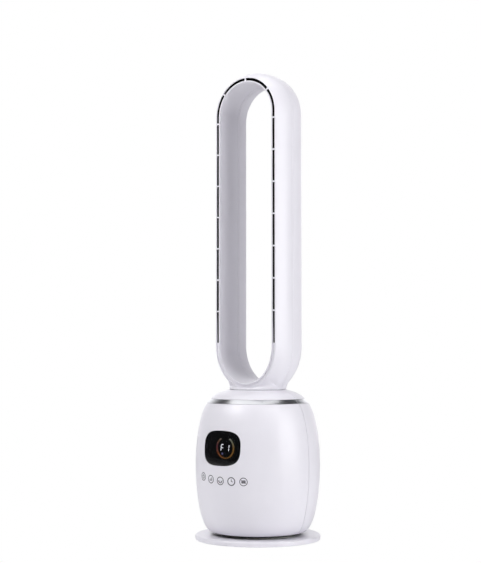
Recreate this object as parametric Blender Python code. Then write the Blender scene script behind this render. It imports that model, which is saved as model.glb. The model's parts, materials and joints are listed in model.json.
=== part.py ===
"""Bladeless loop tower fan: base disc, oscillating barrel with a hidden blower, and an air loop.

Frame: origin at the centre of the floor contact, +Z up, the front faces -Y. Lengths below are in
millimetres and are turned into metres where a mesh is made.
"""

import math

import bmesh
import bpy
from mathutils import Matrix, Vector

MM = 0.001
GAP = 0.3                  # clearance between touching pieces

# base disc
DISC_R = 120.0
DISC_TOP = 11.3
DISC_BOTTOM = 1.8
FOOT_H = 1.5
FOOT_R = 9.0
FOOT_CIRCLE = 100.0
FOOT_COUNT = 5

# barrel wall: a quarter-and-more ellipse in section
WALL = 2.4
BARREL_CORE = 88.4         # radius of the ellipse centres
BARREL_BULGE = 31.5        # how far the wall stands out from them
BARREL_MID = 143.8         # height of the widest point
BARREL_UP = 123.4
BARREL_DOWN = 126.8
RING_LOW = 262.0
RING_HIGH = 270.4
RING_TOP_R = 90.0
DOME_HOLE = 50.6
SEAM = 0.15                # half of the parting gap between front and rear shells

# neck and loop
FOOT_Z = 287.6
NECK_R = 54.0
ARCH_Z = 818.4             # centre of the top half circle
BEND_Z = 371.0             # centre of the lower bend
BEND_DROP = 9.8            # the bend is this much deeper than it is wide
LOOP_FRONT = -40.2
LOOP_BACK = 48.0
LOOP_W = 84.0              # half-width of the loop at its outer seam
SLIT_OUT = 69.7
SLIT_IN = 64.6
SLIT_END = 377.4
RIB_W = 2.8
RIB_PITCH = 61.12
RIB_FIRST = 805.2
RIBS_PER_SIDE = 7
ARCH_RIB = math.radians(50.5)
SKIN = 2.0
SKIRT_STEPS = 4            # spans across the outer skin of a loop moulding
BEND_STEPS = 11            # stations from the side to the bottom of the bend
CORNER_STEP = 6            # the one where the side seam meets the foot
SKIRT_PULL = 0.36          # how firmly the outer skin holds its end directions
FOOT_TURN = math.radians(30)  # slope at which the skin leaves the foot beside the seam
FOOT_FLARE = 0.43          # how much it leans outwards there
LOOP_SECTIONS = (("bend", "neck"), ("right", "side_right"), ("arch", "arch"), ("left", "side_left"))

# oscillation gears
MODULE = 1.25
SUN_TEETH = 48
PINION_TEETH = 12
GEAR_LOW = 24.0
GEAR_HIGH = 29.8
PINION_X = MODULE * (SUN_TEETH + PINION_TEETH) / 2

# display window
LENS_Z = 181.0
LENS_HALF_H = 32.5
LENS_HALF_W = 42.3
KEY_Z = 121.0
KEY_STEP = math.radians(11.5)

# blower
BLADES = 9
VANES = 7
SHAFT_R = 2.5
HUB_CURVE = [(22.0, 134.0), (34.5, 146.0), (42.5, 160.0), (46.0, 175.6)]


# ---------------------------------------------------------------- helpers

def clear_scene():
    for item in list(bpy.data.objects):
        bpy.data.objects.remove(item, do_unlink=True)


def paint(name, colour, roughness, metallic=0.0):
    mat = bpy.data.materials.new(name)
    mat.use_nodes = True
    shader = mat.node_tree.nodes["Principled BSDF"]
    shader.inputs["Base Color"].default_value = (*colour, 1.0)
    shader.inputs["Roughness"].default_value = roughness
    shader.inputs["Metallic"].default_value = metallic
    mat.diffuse_color = (*colour, 1.0)
    return mat


def pivot(name, place, parent=None):
    empty = bpy.data.objects.new(name, None)
    bpy.context.collection.objects.link(empty)
    empty.parent = parent
    empty.location = Vector(place) * MM
    return empty


def finish(name, bm, look, parent, at=(0, 0, 0), angle=40):
    """Turn a bmesh in millimetres into a named object; at is the parent's own world place."""
    bmesh.ops.recalc_face_normals(bm, faces=bm.faces)
    if bm.calc_volume(signed=True) < 0:
        bmesh.ops.reverse_faces(bm, faces=bm.faces)
    bmesh.ops.translate(bm, vec=-Vector(at), verts=bm.verts)
    bmesh.ops.scale(bm, vec=(MM, MM, MM), verts=bm.verts)
    mesh = bpy.data.meshes.new(name)
    bm.to_mesh(mesh)
    bm.free()
    mesh.shade_smooth()
    mesh.set_sharp_from_angle(angle=math.radians(angle))
    if look is not None:
        mesh.materials.append(look)
    obj = bpy.data.objects.new(name, mesh)
    bpy.context.collection.objects.link(obj)
    obj.parent = parent
    return obj


def guide(name, bm, parent, at=(0, 0, 0)):
    """A cutter or an operand that is not a piece of its own."""
    obj = finish(name, bm, None, parent, at)
    obj.hide_render = True
    obj.display_type = "WIRE"
    return obj


def boolean(obj, other, operation):
    mod = obj.modifiers.new(other.name, "BOOLEAN")
    mod.operation = operation
    mod.object = other


def spin(profile, steps, start=0.0, sweep=360.0, bm=None):
    """Turn a closed (r, z) outline about Z; angles in degrees, 0 at +X."""
    bm = bm or bmesh.new()
    a = math.radians(start)
    ring = [bm.verts.new((r * math.cos(a), r * math.sin(a), z)) for r, z in profile]
    face = bm.faces.new(ring)
    full = abs(sweep) >= 360.0
    bmesh.ops.spin(bm, geom=[face, *face.edges, *ring], cent=(0, 0, 0), axis=(0, 0, 1),
                   angle=math.radians(sweep), steps=steps, use_duplicate=False, use_merge=full)
    if full:
        inside = [f for f in bm.faces if len(f.verts) == len(profile) and len(profile) > 4]
        bmesh.ops.delete(bm, geom=inside, context="FACES_ONLY")
        bmesh.ops.remove_doubles(bm, verts=bm.verts, dist=0.001)
        drop_inner_faces(bm)
    return bm


def drop_inner_faces(bm):
    """Remove faces that stand inside the solid: every one of their edges has three faces."""
    inner = [f for f in bm.faces if all(len(e.link_faces) > 2 for e in f.edges)]
    bmesh.ops.delete(bm, geom=inner, context="FACES_ONLY")


def tube(r_out, r_in, low, high, steps):
    """A plain ring; r_in of 0 gives a solid disc."""
    if r_in > 0:
        return spin([(r_in, low), (r_out, low), (r_out, high), (r_in, high)], steps)
    bm = bmesh.new()
    bmesh.ops.create_cone(bm, cap_ends=True, segments=steps, radius1=r_out, radius2=r_out,
                          depth=high - low)
    bmesh.ops.translate(bm, vec=(0, 0, (low + high) / 2), verts=bm.verts)
    return bm


def prism(outline, low, high, bm=None):
    """Extrude a closed (x, y) outline from low to high."""
    bm = bm or bmesh.new()
    face = bm.faces.new([bm.verts.new((x, y, low)) for x, y in outline])
    out = bmesh.ops.extrude_face_region(bm, geom=[face])
    top = [v for v in out["geom"] if isinstance(v, bmesh.types.BMVert)]
    bmesh.ops.translate(bm, vec=(0, 0, high - low), verts=top)
    return bm


def box(x, y, z, bm=None):
    """A block from (low, high) pairs."""
    return prism([(x[0], y[0]), (x[1], y[0]), (x[1], y[1]), (x[0], y[1])], z[0], z[1], bm)


def circle(radius, count, centre=(0.0, 0.0), turn=0.0):
    angles = [turn + 2 * math.pi * k / count for k in range(count)]
    return [(centre[0] + radius * math.cos(a), centre[1] + radius * math.sin(a)) for a in angles]


def moved(bm, vec):
    bmesh.ops.translate(bm, vec=vec, verts=bm.verts)
    return bm


def bezier(p0, p1, p2, p3, t):
    s = 1.0 - t
    return [s * s * s * a + 3 * s * s * t * b + 3 * s * t * t * c + t * t * t * d
            for a, b, c, d in zip(p0, p1, p2, p3)]


def strip_solid(outer, inner, keep):
    """Close a wall that runs round in a ring, given as two grids of points [station][node].

    keep(s, i) tells whether the cell between stations s, s+1 and nodes i, i+1 is solid.
    """
    bm = bmesh.new()
    count = len(outer)
    nodes = len(outer[0])
    skins = [[[bm.verts.new(p) for p in row] for row in grid] for grid in (outer, inner)]

    def solid(s, i):
        return 0 <= i < nodes - 1 and keep(s % count, i)

    for s in range(count):
        n = (s + 1) % count
        for i in range(nodes - 1):
            if not solid(s, i):
                continue
            a, b = skins[0], skins[1]
            bm.faces.new((a[s][i], a[n][i], a[n][i + 1], a[s][i + 1]))
            bm.faces.new((b[s][i + 1], b[n][i + 1], b[n][i], b[s][i]))
            if not solid(s, i - 1):
                bm.faces.new((a[n][i], a[s][i], b[s][i], b[n][i]))
            if not solid(s, i + 1):
                bm.faces.new((a[s][i + 1], a[n][i + 1], b[n][i + 1], b[s][i + 1]))
            if not solid(s - 1, i):
                bm.faces.new((a[s][i], a[s][i + 1], b[s][i + 1], b[s][i]))
            if not solid(s + 1, i):
                bm.faces.new((a[n][i + 1], a[n][i], b[n][i], b[n][i + 1]))
    loose = [v for v in bm.verts if not v.link_faces]
    bmesh.ops.delete(bm, geom=loose, context="VERTS")
    return bm


# ---------------------------------------------------------------- barrel shape

def wall_radius(z, inset=0.0):
    half = BARREL_UP if z > BARREL_MID else BARREL_DOWN
    u = min(1.0, abs(z - BARREL_MID) / (half - inset))
    return BARREL_CORE + (BARREL_BULGE - inset) * math.sqrt(1.0 - u * u)


def wall_curve(inset, low, high, count):
    """Points of the barrel wall from low to high, close together where it turns."""
    start = math.asin(max(-1.0, (low - BARREL_MID) / (BARREL_DOWN - inset)))
    end = math.asin((high - BARREL_MID) / (BARREL_UP - inset))
    points = []
    for k in range(count + 1):
        a = start + (end - start) * k / count
        half = BARREL_UP if a > 0 else BARREL_DOWN
        z = BARREL_MID + (half - inset) * math.sin(a)
        points.append((BARREL_CORE + (BARREL_BULGE - inset) * math.cos(a), z))
    return points


def dome_curve(drop, count):
    """Points from the top of the trim ring in to the foot of the loop."""
    ends = ((RING_TOP_R, RING_HIGH - drop), (83.0, 279.5 - drop),
            (70.0, 283.5 - drop), (56.5, 287.2 - drop))
    return [tuple(bezier(*ends, k / count)) for k in range(count + 1)]


def shell_outline():
    """Section of one barrel half: wall, rebate for the trim ring, dome and neck hole."""
    low = 17.2
    outside = wall_curve(0.0, low, RING_LOW, 10)
    rebate = [(outside[-1][0] - 2.0, RING_LOW), (RING_TOP_R - 2.0, RING_HIGH)]
    top = dome_curve(0.0, 4) + [(DOME_HOLE, 287.2)]
    under = [(DOME_HOLE, 287.2 - WALL)] + dome_curve(WALL, 4)[::-1][:-1]
    inside = wall_curve(WALL, 19.4, RING_LOW - 3.0, 9)[::-1]
    return outside + rebate + top + under + inside


def ring_outline():
    top = RING_TOP_R
    foot = wall_radius(RING_LOW)
    return [(foot, RING_LOW + GAP), (top, RING_HIGH - GAP),
            (top - 1.2, RING_HIGH - GAP), (foot - 1.2, RING_LOW + GAP)]


def half_turn(outline, front, steps):
    """Half of a turned shell, cut back from the parting plane by the seam."""
    bm = spin(outline, steps, 180.0 if front else 0.0, 180.0)
    push = -SEAM if front else SEAM
    return moved(bm, (0, push, 0))


def squircle(half_w, half_h, count, power=3.0):
    points = []
    for k in range(count):
        a = 2 * math.pi * (k + 0.5) / count
        c, s = math.cos(a), math.sin(a)
        x = half_w * math.copysign(abs(c) ** (2 / power), c)
        z = half_h * math.copysign(abs(s) ** (2 / power), s)
        points.append((x, z))
    return points


def window_block(half_w, half_h):
    """A squircle bar through the front wall, running along Y."""
    return stand_up(prism(squircle(half_w, half_h, 32), 80.0, 140.0), LENS_Z)


# ---------------------------------------------------------------- base

def make_base(looks, root):
    cover = [(14.6, 9.1), (117.2, 9.1), (117.2, 1.7), (118.8, 1.7), (DISC_R, 4.0),
             (DISC_R, 8.6), (118.8, 10.6), (116.4, DISC_TOP), (14.6, DISC_TOP)]
    body = finish("base_cover", spin(cover, 44), looks["shell"], root)
    notch = guide("gland_notch", box((-4.2, 4.2), (104.0, 124.0), (-1.0, 8.6)), root)
    boolean(body, notch, "DIFFERENCE")
    pan = finish("base_pan", tube(116.4, 6.0, DISC_BOTTOM, 3.6, 44), looks["black"], root)
    boolean(pan, notch, "DIFFERENCE")
    finish("ballast_plate", tube(96.0, 36.0, 3.9, 8.4, 32), looks["steel"], root)
    for k in range(FOOT_COUNT):
        a = math.radians(90 + 36) + 2 * math.pi * k / FOOT_COUNT
        foot = moved(tube(FOOT_R, 0, 0.0, FOOT_H, 16),
                     (FOOT_CIRCLE * math.cos(a), FOOT_CIRCLE * math.sin(a), 0))
        finish(f"foot_{k + 1}", foot, looks["rubber"], root)
    gland = box((-3.8, 3.8), (105.0, 119.9), (1.9, 8.2))
    bmesh.ops.bevel(gland, geom=[e for e in gland.edges if abs(e.verts[0].co.y - e.verts[1].co.y) > 1],
                    offset=2.2, segments=3, affect="EDGES", profile=0.5)
    hole = circle(2.8, 12)
    bore = stand_up(prism(hole, -130.0, -100.0), 5.05)
    gland = finish("cord_gland", gland, looks["rubber"], root)
    boolean(gland, guide("gland_bore", bore, root), "DIFFERENCE")
    spindle = [(7.5, 3.9), (32.0, 3.9), (32.0, 8.8), (14.0, 8.8), (14.0, 23.6), (11.0, 23.6),
               (11.0, 34.0), (7.5, 34.0)]
    finish("spindle", spin(spindle, 24), looks["steel"], root)
    finish("sun_gear", gear(SUN_TEETH, 11.3, GEAR_LOW, GEAR_HIGH, 0.0), looks["acetal"], root)
    nut = prism(circle(17.0, 6), GEAR_HIGH + GAP, 33.6)
    nut = finish("spindle_nut", nut, looks["steel"], root)
    boolean(nut, guide("nut_bore", tube(11.3, 0, 28.0, 36.0, 24), root), "DIFFERENCE")
    finish("glide_ring", tube(78.0, 62.0, DISC_TOP + GAP, 13.2, 32), looks["acetal"], root)


def gear(teeth, bore, low, high, turn, centre=(0.0, 0.0)):
    """A spur gear with slim straight-sided teeth; bore 0 leaves it solid."""
    pitch = MODULE * teeth / 2
    half = [(pitch - 1.25 * MODULE, 0.29), (pitch + 0.9 * MODULE, 0.10)]
    step = 2 * math.pi / teeth
    outline = []
    for k in range(teeth):
        mid = turn + k * step
        flank = [(r, -share * step) for r, share in half] + [(r, share * step) for r, share in half[::-1]]
        outline += [(centre[0] + r * math.cos(mid + a), centre[1] + r * math.sin(mid + a))
                    for r, a in flank]
    if bore <= 0:
        return prism(outline, low, high)
    bm = bmesh.new()
    rim = [bm.verts.new((x, y, low)) for x, y in outline]
    eye = [bm.verts.new((x, y, low)) for x, y in circle(bore, 32, centre)]
    edges = [bm.edges.new((loop[k - 1], loop[k])) for loop in (rim, eye) for k in range(len(loop))]
    bmesh.ops.triangle_fill(bm, edges=edges, use_beauty=True)
    out = bmesh.ops.extrude_face_region(bm, geom=bm.faces[:])
    top = [v for v in out["geom"] if isinstance(v, bmesh.types.BMVert)]
    bmesh.ops.translate(bm, vec=(0, 0, high - low), verts=top)
    return bm


# ---------------------------------------------------------------- turntable and drive

def make_drive(looks, turn):
    plate = [(18.0, 13.5), (84.0, 13.5), (84.0, 19.6), (81.0, 19.6), (81.0, 16.2), (18.0, 16.2)]
    finish("turntable", spin(plate, 36), looks["black"], turn)
    bush = [(14.3, 12.0), (17.7, 12.0), (17.7, 20.6), (24.0, 20.6), (24.0, 22.8), (14.3, 22.8)]
    finish("pivot_bush", spin(bush, 28), looks["acetal"], turn)
    chassis = finish("chassis", tube(87.5, 34.0, 20.0, 22.6, 40), looks["black"], turn)
    posts = bmesh.new()
    for k in range(3):
        a = math.radians(60 + 120 * k)
        prism(circle(4.0, 10, (72 * math.cos(a), 72 * math.sin(a))), 21.0, 106.0, posts)
    boolean(chassis, guide("chassis_posts", posts, turn), "UNION")
    finish("isolator_ring", tube(77.5, 66.5, 106.3, 111.7, 36), looks["rubber"], turn)
    bracket = finish("motor_bracket", box((20.0, 60.0), (-24.0, 24.0), (34.2, 36.0)), looks["steel"], turn)
    legs = bmesh.new()
    for x, y in ((47.0, -20.0), (47.0, 20.0)):
        box((x - 4, x + 4), (y - 3, y + 3), (22.9, 35.0), legs)
    boolean(bracket, guide("bracket_legs", legs, turn), "UNION")
    boolean(bracket, guide("bracket_hole", moved(tube(5.0, 0, 30.0, 40.0, 16), (PINION_X, 0, 0)), turn),
            "DIFFERENCE")
    motor = spin([(2.9, 36.3), (14.0, 36.3), (14.0, 55.0), (0.9, 55.0), (0.9, 46.0), (2.9, 46.0)], 24)
    finish("swing_motor", moved(motor, (PINION_X, 0, 0)), looks["steel"], turn)


def make_pinion(looks, axis):
    at = (PINION_X, 0, 0)
    wheel = gear(PINION_TEETH, 0, GEAR_LOW + 0.2, GEAR_HIGH - 0.2, math.radians(15), (PINION_X, 0.0))
    wheel = finish("pinion", wheel, looks["acetal"], axis, at)
    shaft = guide("pinion_shaft", moved(tube(2.4, 0, GEAR_LOW + 1.0, 45.0, 12), at), axis, at)
    boolean(wheel, shaft, "UNION")


# ---------------------------------------------------------------- barrel shells and electronics

def make_shells(looks, turn):
    outline = shell_outline()
    front = finish("front_shell", half_turn(outline, True, 20), looks["shell"], turn, angle=30)
    window = guide("window_cut", window_block(LENS_HALF_W + GAP, LENS_HALF_H + GAP), turn)
    boolean(front, window, "DIFFERENCE")
    rear = finish("rear_shell", half_turn(outline, False, 20), looks["shell"], turn, angle=30)
    boolean(rear, guide("intake_slots", slot_block(), turn), "DIFFERENCE")
    for name, is_front in (("trim_ring_front", True), ("trim_ring_rear", False)):
        finish(name, half_turn(ring_outline(), is_front, 20), looks["chrome"], turn)
    screen = wall_curve(WALL + 1.2, 58.0, 224.0, 5) + wall_curve(WALL + 2.4, 58.0, 224.0, 5)[::-1]
    finish("dust_screen", spin(screen, 14, 38.0, 104.0), looks["mesh"], turn)

    curve = wall_curve(0.0, 140.0, 222.0, 7)
    behind = wall_curve(WALL, 140.0, 222.0, 7)[::-1]
    slab = spin(curve + behind, 12, 270.0 - 24.0, 48.0)
    lens = finish("display_lens", slab, looks["lens"], turn)
    boolean(lens, guide("lens_trim", window_block(LENS_HALF_W, LENS_HALF_H), turn), "INTERSECT")

    frame = prism(squircle(38.0, 28.0, 20, 5.0), 100.6, 106.6)
    opening = prism(squircle(35.6, 25.6, 20, 5.0), 99.0, 108.0)
    for block in (frame, opening):
        stand_up(block, LENS_Z)
    housing = finish("display_frame", frame, looks["black"], turn)
    boolean(housing, guide("display_opening", opening, turn), "DIFFERENCE")
    board = prism(squircle(37.5, 27.5, 20, 5.0), 98.6, 100.2)
    finish("display_board", stand_up(board, LENS_Z), looks["board"], turn)
    ring = [(18.2, 100.5), (21.2, 100.5), (21.2, 103.6), (18.2, 103.6)]
    finish("light_ring", stand_up(spin(ring, 24, 115.0, 310.0), LENS_Z), looks["lamp"], turn)
    digits = prism([(-14.0, -8.5), (14.0, -8.5), (14.0, 8.5), (-14.0, 8.5)], 100.5, 103.6)
    finish("digit_block", stand_up(digits, LENS_Z), looks["lamp"], turn)

    keys = spin([(110.5, 111.0), (112.0, 111.0), (112.0, 131.0), (110.5, 131.0)], 12, 270.0 - 30.0, 60.0)
    finish("touch_board", keys, looks["board"], turn)
    for k in range(5):
        spring = stand_up(tube(3.4, 0, 112.3, 115.8, 10), KEY_Z)
        bmesh.ops.rotate(spring, verts=spring.verts, cent=(0, 0, 0),
                         matrix=rotation_z((k - 2) * KEY_STEP))
        finish(f"touch_spring_{k + 1}", spring, looks["brass"], turn)
    finish("main_board", box((-42.0, 42.0), (-84.2, -82.6), (24.0, 100.0)), looks["board"], turn)
    power = box((-34.0, -6.0), (-82.3, -62.0), (30.0, 58.0))
    finish("power_module", power, looks["black"], turn)


def stand_up(bm, height, verts=None):
    """Turn a block made along +Z to face the front, -Y, at the given height."""
    for v in verts or bm.verts:
        v.co = (v.co.x, -v.co.z, v.co.y + height)
    return bm


def rotation_z(angle):
    return Matrix.Rotation(angle, 3, "Z")


def slot_block():
    """Two rows of upright intake slots round the back of the barrel."""
    bm = bmesh.new()
    half_w = 2.2
    for middle, half_h in ((104.0, 36.0), (182.0, 34.0)):
        for k in range(-6, 7):
            start = len(bm.verts)
            end = [(half_w * math.cos(a), half_h - half_w + half_w * math.sin(a))
                   for a in (0.0, math.pi / 3, 2 * math.pi / 3, math.pi)]
            outline = end + [(-x, -z) for x, z in end]
            prism(outline, -126.0, -100.0, bm)
            bm.verts.ensure_lookup_table()
            fresh = bm.verts[start:]
            stand_up(bm, middle, fresh)
            bmesh.ops.rotate(bm, verts=fresh, cent=(0, 0, 0), matrix=rotation_z(math.radians(7.0 * k)))
    return bm


# ---------------------------------------------------------------- blower

def make_blower(looks, turn):
    inlet = [(84.0, 112.0), (84.0, 114.2), (70.5, 115.4), (65.0, 121.0), (64.3, 130.0), (70.4, 172.0),
             (73.0, 180.8), (71.0, 180.8), (68.4, 172.0), (62.3, 130.0), (63.0, 120.0), (69.5, 112.8)]
    finish("blower_inlet", spin(inlet, 28), looks["black"], turn)
    outlet = [(73.0, 181.1), (74.6, 204.0), (66.0, 236.0), (46.6, 262.0), (44.9, 273.0), (44.9, 284.0),
              (42.9, 284.0), (44.6, 261.0), (64.0, 235.0), (72.6, 204.0), (71.0, 181.1)]
    finish("blower_outlet", spin(outlet, 28), looks["black"], turn)
    pod = [(44.0, 183.0), (46.0, 183.0), (42.0, 215.0), (26.0, 246.0), (6.0, 258.0), (6.0, 255.4),
           (24.6, 244.4), (40.0, 214.4)]
    diffuser = finish("diffuser", spin(pod, 28), looks["black"], turn)
    boolean(diffuser, guide("vanes", blade_set(VANES, vane_point, 1.8), turn), "UNION")
    mount = [(7.6, 150.0), (11.6, 150.0), (11.6, 177.0), (38.0, 177.0), (38.0, 182.0), (36.0, 182.0),
             (36.0, 179.0), (7.6, 179.0)]
    finish("motor_mount", spin(mount, 28), looks["cast"], turn)
    finish("stator", stator_body(), looks["copper"], turn)
    finish("bearing_lower", tube(7.3, SHAFT_R + GAP, 151.0, 156.0, 20), looks["steel"], turn)
    finish("bearing_upper", tube(7.3, SHAFT_R + GAP, 172.0, 177.0, 20), looks["steel"], turn)
    finish("driver_board", tube(34.0, 10.0, 186.0, 187.6, 24), looks["board"], turn)


def stator_body():
    """Laminated core: twelve teeth about the bearing tube."""
    outline = []
    for k in range(12):
        mid = 2 * math.pi * k / 12
        for r, a in ((16.0, -0.13), (24.0, -0.11), (25.5, -0.21), (25.5, 0.21), (24.0, 0.11), (16.0, 0.13)):
            outline.append((r * math.cos(mid + a), r * math.sin(mid + a)))
    bm = bmesh.new()
    rim = [bm.verts.new((x, y, 152.0)) for x, y in outline]
    eye = [bm.verts.new((x, y, 152.0)) for x, y in circle(12.0, 24)]
    edges = [bm.edges.new((loop[k - 1], loop[k])) for loop in (rim, eye) for k in range(len(loop))]
    bmesh.ops.triangle_fill(bm, edges=edges, use_beauty=True)
    out = bmesh.ops.extrude_face_region(bm, geom=bm.faces[:])
    top = [v for v in out["geom"] if isinstance(v, bmesh.types.BMVert)]
    bmesh.ops.translate(bm, vec=(0, 0, 18.0), verts=top)
    return bm


def blade_set(count, point, thickness):
    """Blades that share one operand; point(chord, span) gives (r, z, angle)."""
    bm = bmesh.new()
    chords = [k / 4 for k in range(5)]
    spans = [0.0, 0.5, 1.0]
    for b in range(count):
        base = 2 * math.pi * b / count
        skins = []
        for side in (-0.5, 0.5):
            grid = []
            for c in chords:
                row = []
                for p in spans:
                    r, z, a = point(c, p)
                    a += base + side * thickness / r
                    row.append(bm.verts.new((r * math.cos(a), r * math.sin(a), z)))
                grid.append(row)
            skins.append(grid)
        close_pair(bm, *skins)
    return bm


def close_pair(bm, a, b):
    """Close the solid between two equal grids of vertices."""
    rows, cols = len(a), len(a[0])
    for i in range(rows - 1):
        for j in range(cols - 1):
            bm.faces.new((a[i][j], a[i + 1][j], a[i + 1][j + 1], a[i][j + 1]))
            bm.faces.new((b[i][j + 1], b[i + 1][j + 1], b[i + 1][j], b[i][j]))
    for i in range(rows - 1):
        bm.faces.new((a[i + 1][0], a[i][0], b[i][0], b[i + 1][0]))
        bm.faces.new((a[i][-1], a[i + 1][-1], b[i + 1][-1], b[i][-1]))
    for j in range(cols - 1):
        bm.faces.new((a[0][j], a[0][j + 1], b[0][j + 1], b[0][j]))
        bm.faces.new((a[-1][j + 1], a[-1][j], b[-1][j], b[-1][j + 1]))


def vane_point(chord, span):
    """Stator vane: swirls back to straight as it rises, from the pod to the outlet wall."""
    z = 186.0 + 18.0 * chord
    inner = 45.0 - 2.3 * chord
    outer = 70.9 + 1.2 * chord
    return inner + (outer - inner) * span, z, 0.55 * chord * (1.0 - 0.5 * chord)


def impeller_point(chord, span):
    """Mixed-flow blade: from the eye at the bottom up and out to the rim of the hub."""
    root_z = 136.5 + 37.5 * chord
    for (r0, z0), (r1, z1) in zip(HUB_CURVE, HUB_CURVE[1:]):
        if z0 <= root_z <= z1:
            root = r0 + (r1 - r0) * (root_z - z0) / (z1 - z0) - 1.1
    r = root * (1 - span) + (60.8 + 5.8 * chord) * span
    z = root_z * (1 - span) + (130.0 + 43.0 * chord) * span
    return r, z, -0.95 * chord


def make_rotor(looks, axis):
    inside = [(43.8, 175.6), (40.3, 160.6), (32.6, 147.8), (20.4, 136.2), (10.0, 132.0)]
    hub = [(3.2, 128.5), (9.0, 128.5)] + HUB_CURVE + inside + [(8.0, 142.0), (3.2, 142.0)]
    wheel = finish("impeller", spin(hub, 32), looks["grey"], axis)
    boolean(wheel, guide("blades", blade_set(BLADES, impeller_point, 1.6), axis), "UNION")
    finish("motor_shaft", tube(SHAFT_R, 0, 129.0, 184.0, 16), looks["steel"], axis)
    cup = [(SHAFT_R + 0.3, 145.0), (29.0, 145.0), (30.0, 147.0), (30.0, 170.0), (27.0, 170.0),
           (27.0, 147.6), (SHAFT_R + 0.3, 147.6)]
    finish("rotor_cup", spin(cup, 28), looks["steel"], axis)


# ---------------------------------------------------------------- neck and loop

def make_neck(looks, turn):
    finish("neck_ring", spin([(47.4, 274.0), (50.2, 274.0), (50.2, 287.3), (47.4, 287.3)], 32),
           looks["black"], turn)
    finish("neck_collar", spin([(50.6, 277.6), (58.0, 277.6), (58.0, 280.8), (50.6, 280.8)], 32),
           looks["black"], turn)
    finish("neck_gasket", spin([(45.2, 275.0), (47.1, 275.0), (47.1, 281.0), (45.2, 281.0)], 28),
           looks["rubber"], turn)


def place_on_ring(width, where):
    """Point (x, z) of the loop's path at a half-width; where is (kind, value)."""
    kind, value = where
    if kind == "arch":
        return width * math.sin(value), ARCH_Z + width * math.cos(value)
    if kind == "bend":
        return width * math.cos(value), BEND_Z - (width + BEND_DROP) * math.sin(value)
    side = 1.0 if kind == "right" else -1.0
    return side * width, value


def outward(where):
    """Unit normal of the path, in the XZ plane, away from the opening."""
    kind, value = where
    if kind == "arch":
        return math.sin(value), math.cos(value)
    if kind == "bend":
        x, z = math.cos(value), -math.sin(value) * 0.92
        size = math.hypot(x, z)
        return x / size, z / size
    return (1.0, 0.0) if kind == "right" else (-1.0, 0.0)


def edge_point(where, sign):
    """Outer boundary of a loop moulding: its side seam, or the round foot under the bend.

    Gives the point and the direction in which the surface leaves it. sign is -1 for the front
    moulding and +1 for the rear one.
    """
    kind, value = where
    y = sign * SEAM
    if kind != "bend":
        x, z = place_on_ring(LOOP_W, where)
        return Vector((x, y, z)), Vector((0, sign, 0))
    share = value / (math.pi / 2)
    side = 1.0 if share <= 1.0 else -1.0
    share = share if share <= 1.0 else 2.0 - share
    corner = CORNER_STEP / BEND_STEPS
    if share <= corner:
        q = share / corner
        curve = ((LOOP_W, BEND_Z), (LOOP_W, 321.0), (57.0, 305.0), (NECK_R, FOOT_Z))
        x, z = bezier(*curve, q)
        back = bezier(*curve, q - 0.01)
        up = Vector((side * (back[0] - x), 0, back[1] - z)).normalized()
        turn = FOOT_TURN * q ** 2
        direction = Vector((0, sign, 0)) * math.cos(turn) + up * math.sin(turn)
        return Vector((side * x, y, z)), direction
    a = (share - corner) / (1.0 - corner) * math.pi / 2
    point = Vector((side * NECK_R * math.cos(a), sign * NECK_R * math.sin(a) + y, FOOT_Z))
    tilt = FOOT_TURN + (math.pi / 2 - FOOT_TURN) * math.sin(a)
    along = Vector((-side * math.sin(a), sign * math.cos(a), 0))
    radial = Vector((side * math.cos(a), sign * math.sin(a), 0))
    up = (Vector((0, 0, 1)) + radial * FOOT_FLARE * math.cos(a)).normalized()
    return point, (along * math.cos(tilt) + up * math.sin(tilt)).normalized()


def skirt(where, sign, width, depth, lean, count):
    """Outer surface from the seam or foot to the front lip or the back nose."""
    start, leave = edge_point(where, sign)
    x, z = place_on_ring(width, where)
    end = Vector((x, depth, z))
    nx, nz = outward(where)
    arrive = Vector((nx * lean[0], lean[1], nz * lean[0])).normalized()
    pull = SKIRT_PULL
    if where[0] == "bend":
        share = math.sin(where[1]) ** 1.5
        arrive = (arrive * (1 - share) + (start - end).normalized() * share).normalized()
        pull += 0.14 * share
    reach = (end - start).length * pull
    p1 = start + leave * reach
    p2 = end + arrive * reach
    return [Vector(bezier(start, p1, p2, end, k / count)) for k in range(count + 1)]


def offset_skin(grid, depth, sign):
    """Inner skin of a skirt grid: each point moved along the surface normal."""
    count = len(grid)
    nodes = len(grid[0])
    inner = []
    for s in range(count):
        row = []
        for i in range(nodes):
            along = grid[(s + 1) % count][i] - grid[s - 1][i]
            across = grid[s][min(i + 1, nodes - 1)] - grid[s][max(i - 1, 0)]
            normal = along.cross(across).normalized() * sign
            point = grid[s][i] - normal * depth
            point.z = max(point.z, FOOT_Z + 0.1 * i)
            if i == 0:
                point = flat_edge(grid[s][0], normal, depth)
            row.append(point)
        inner.append(row)
    return inner


def flat_edge(point, normal, depth):
    """Inner point of the mating edge, kept in the plane of the seam or of the foot."""
    if point.z < FOOT_Z + 0.01:
        flat = Vector((point.x, point.y, 0)).normalized()
    else:
        flat = Vector((normal.x, 0, normal.z)).normalized()
    return point - flat * depth


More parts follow.
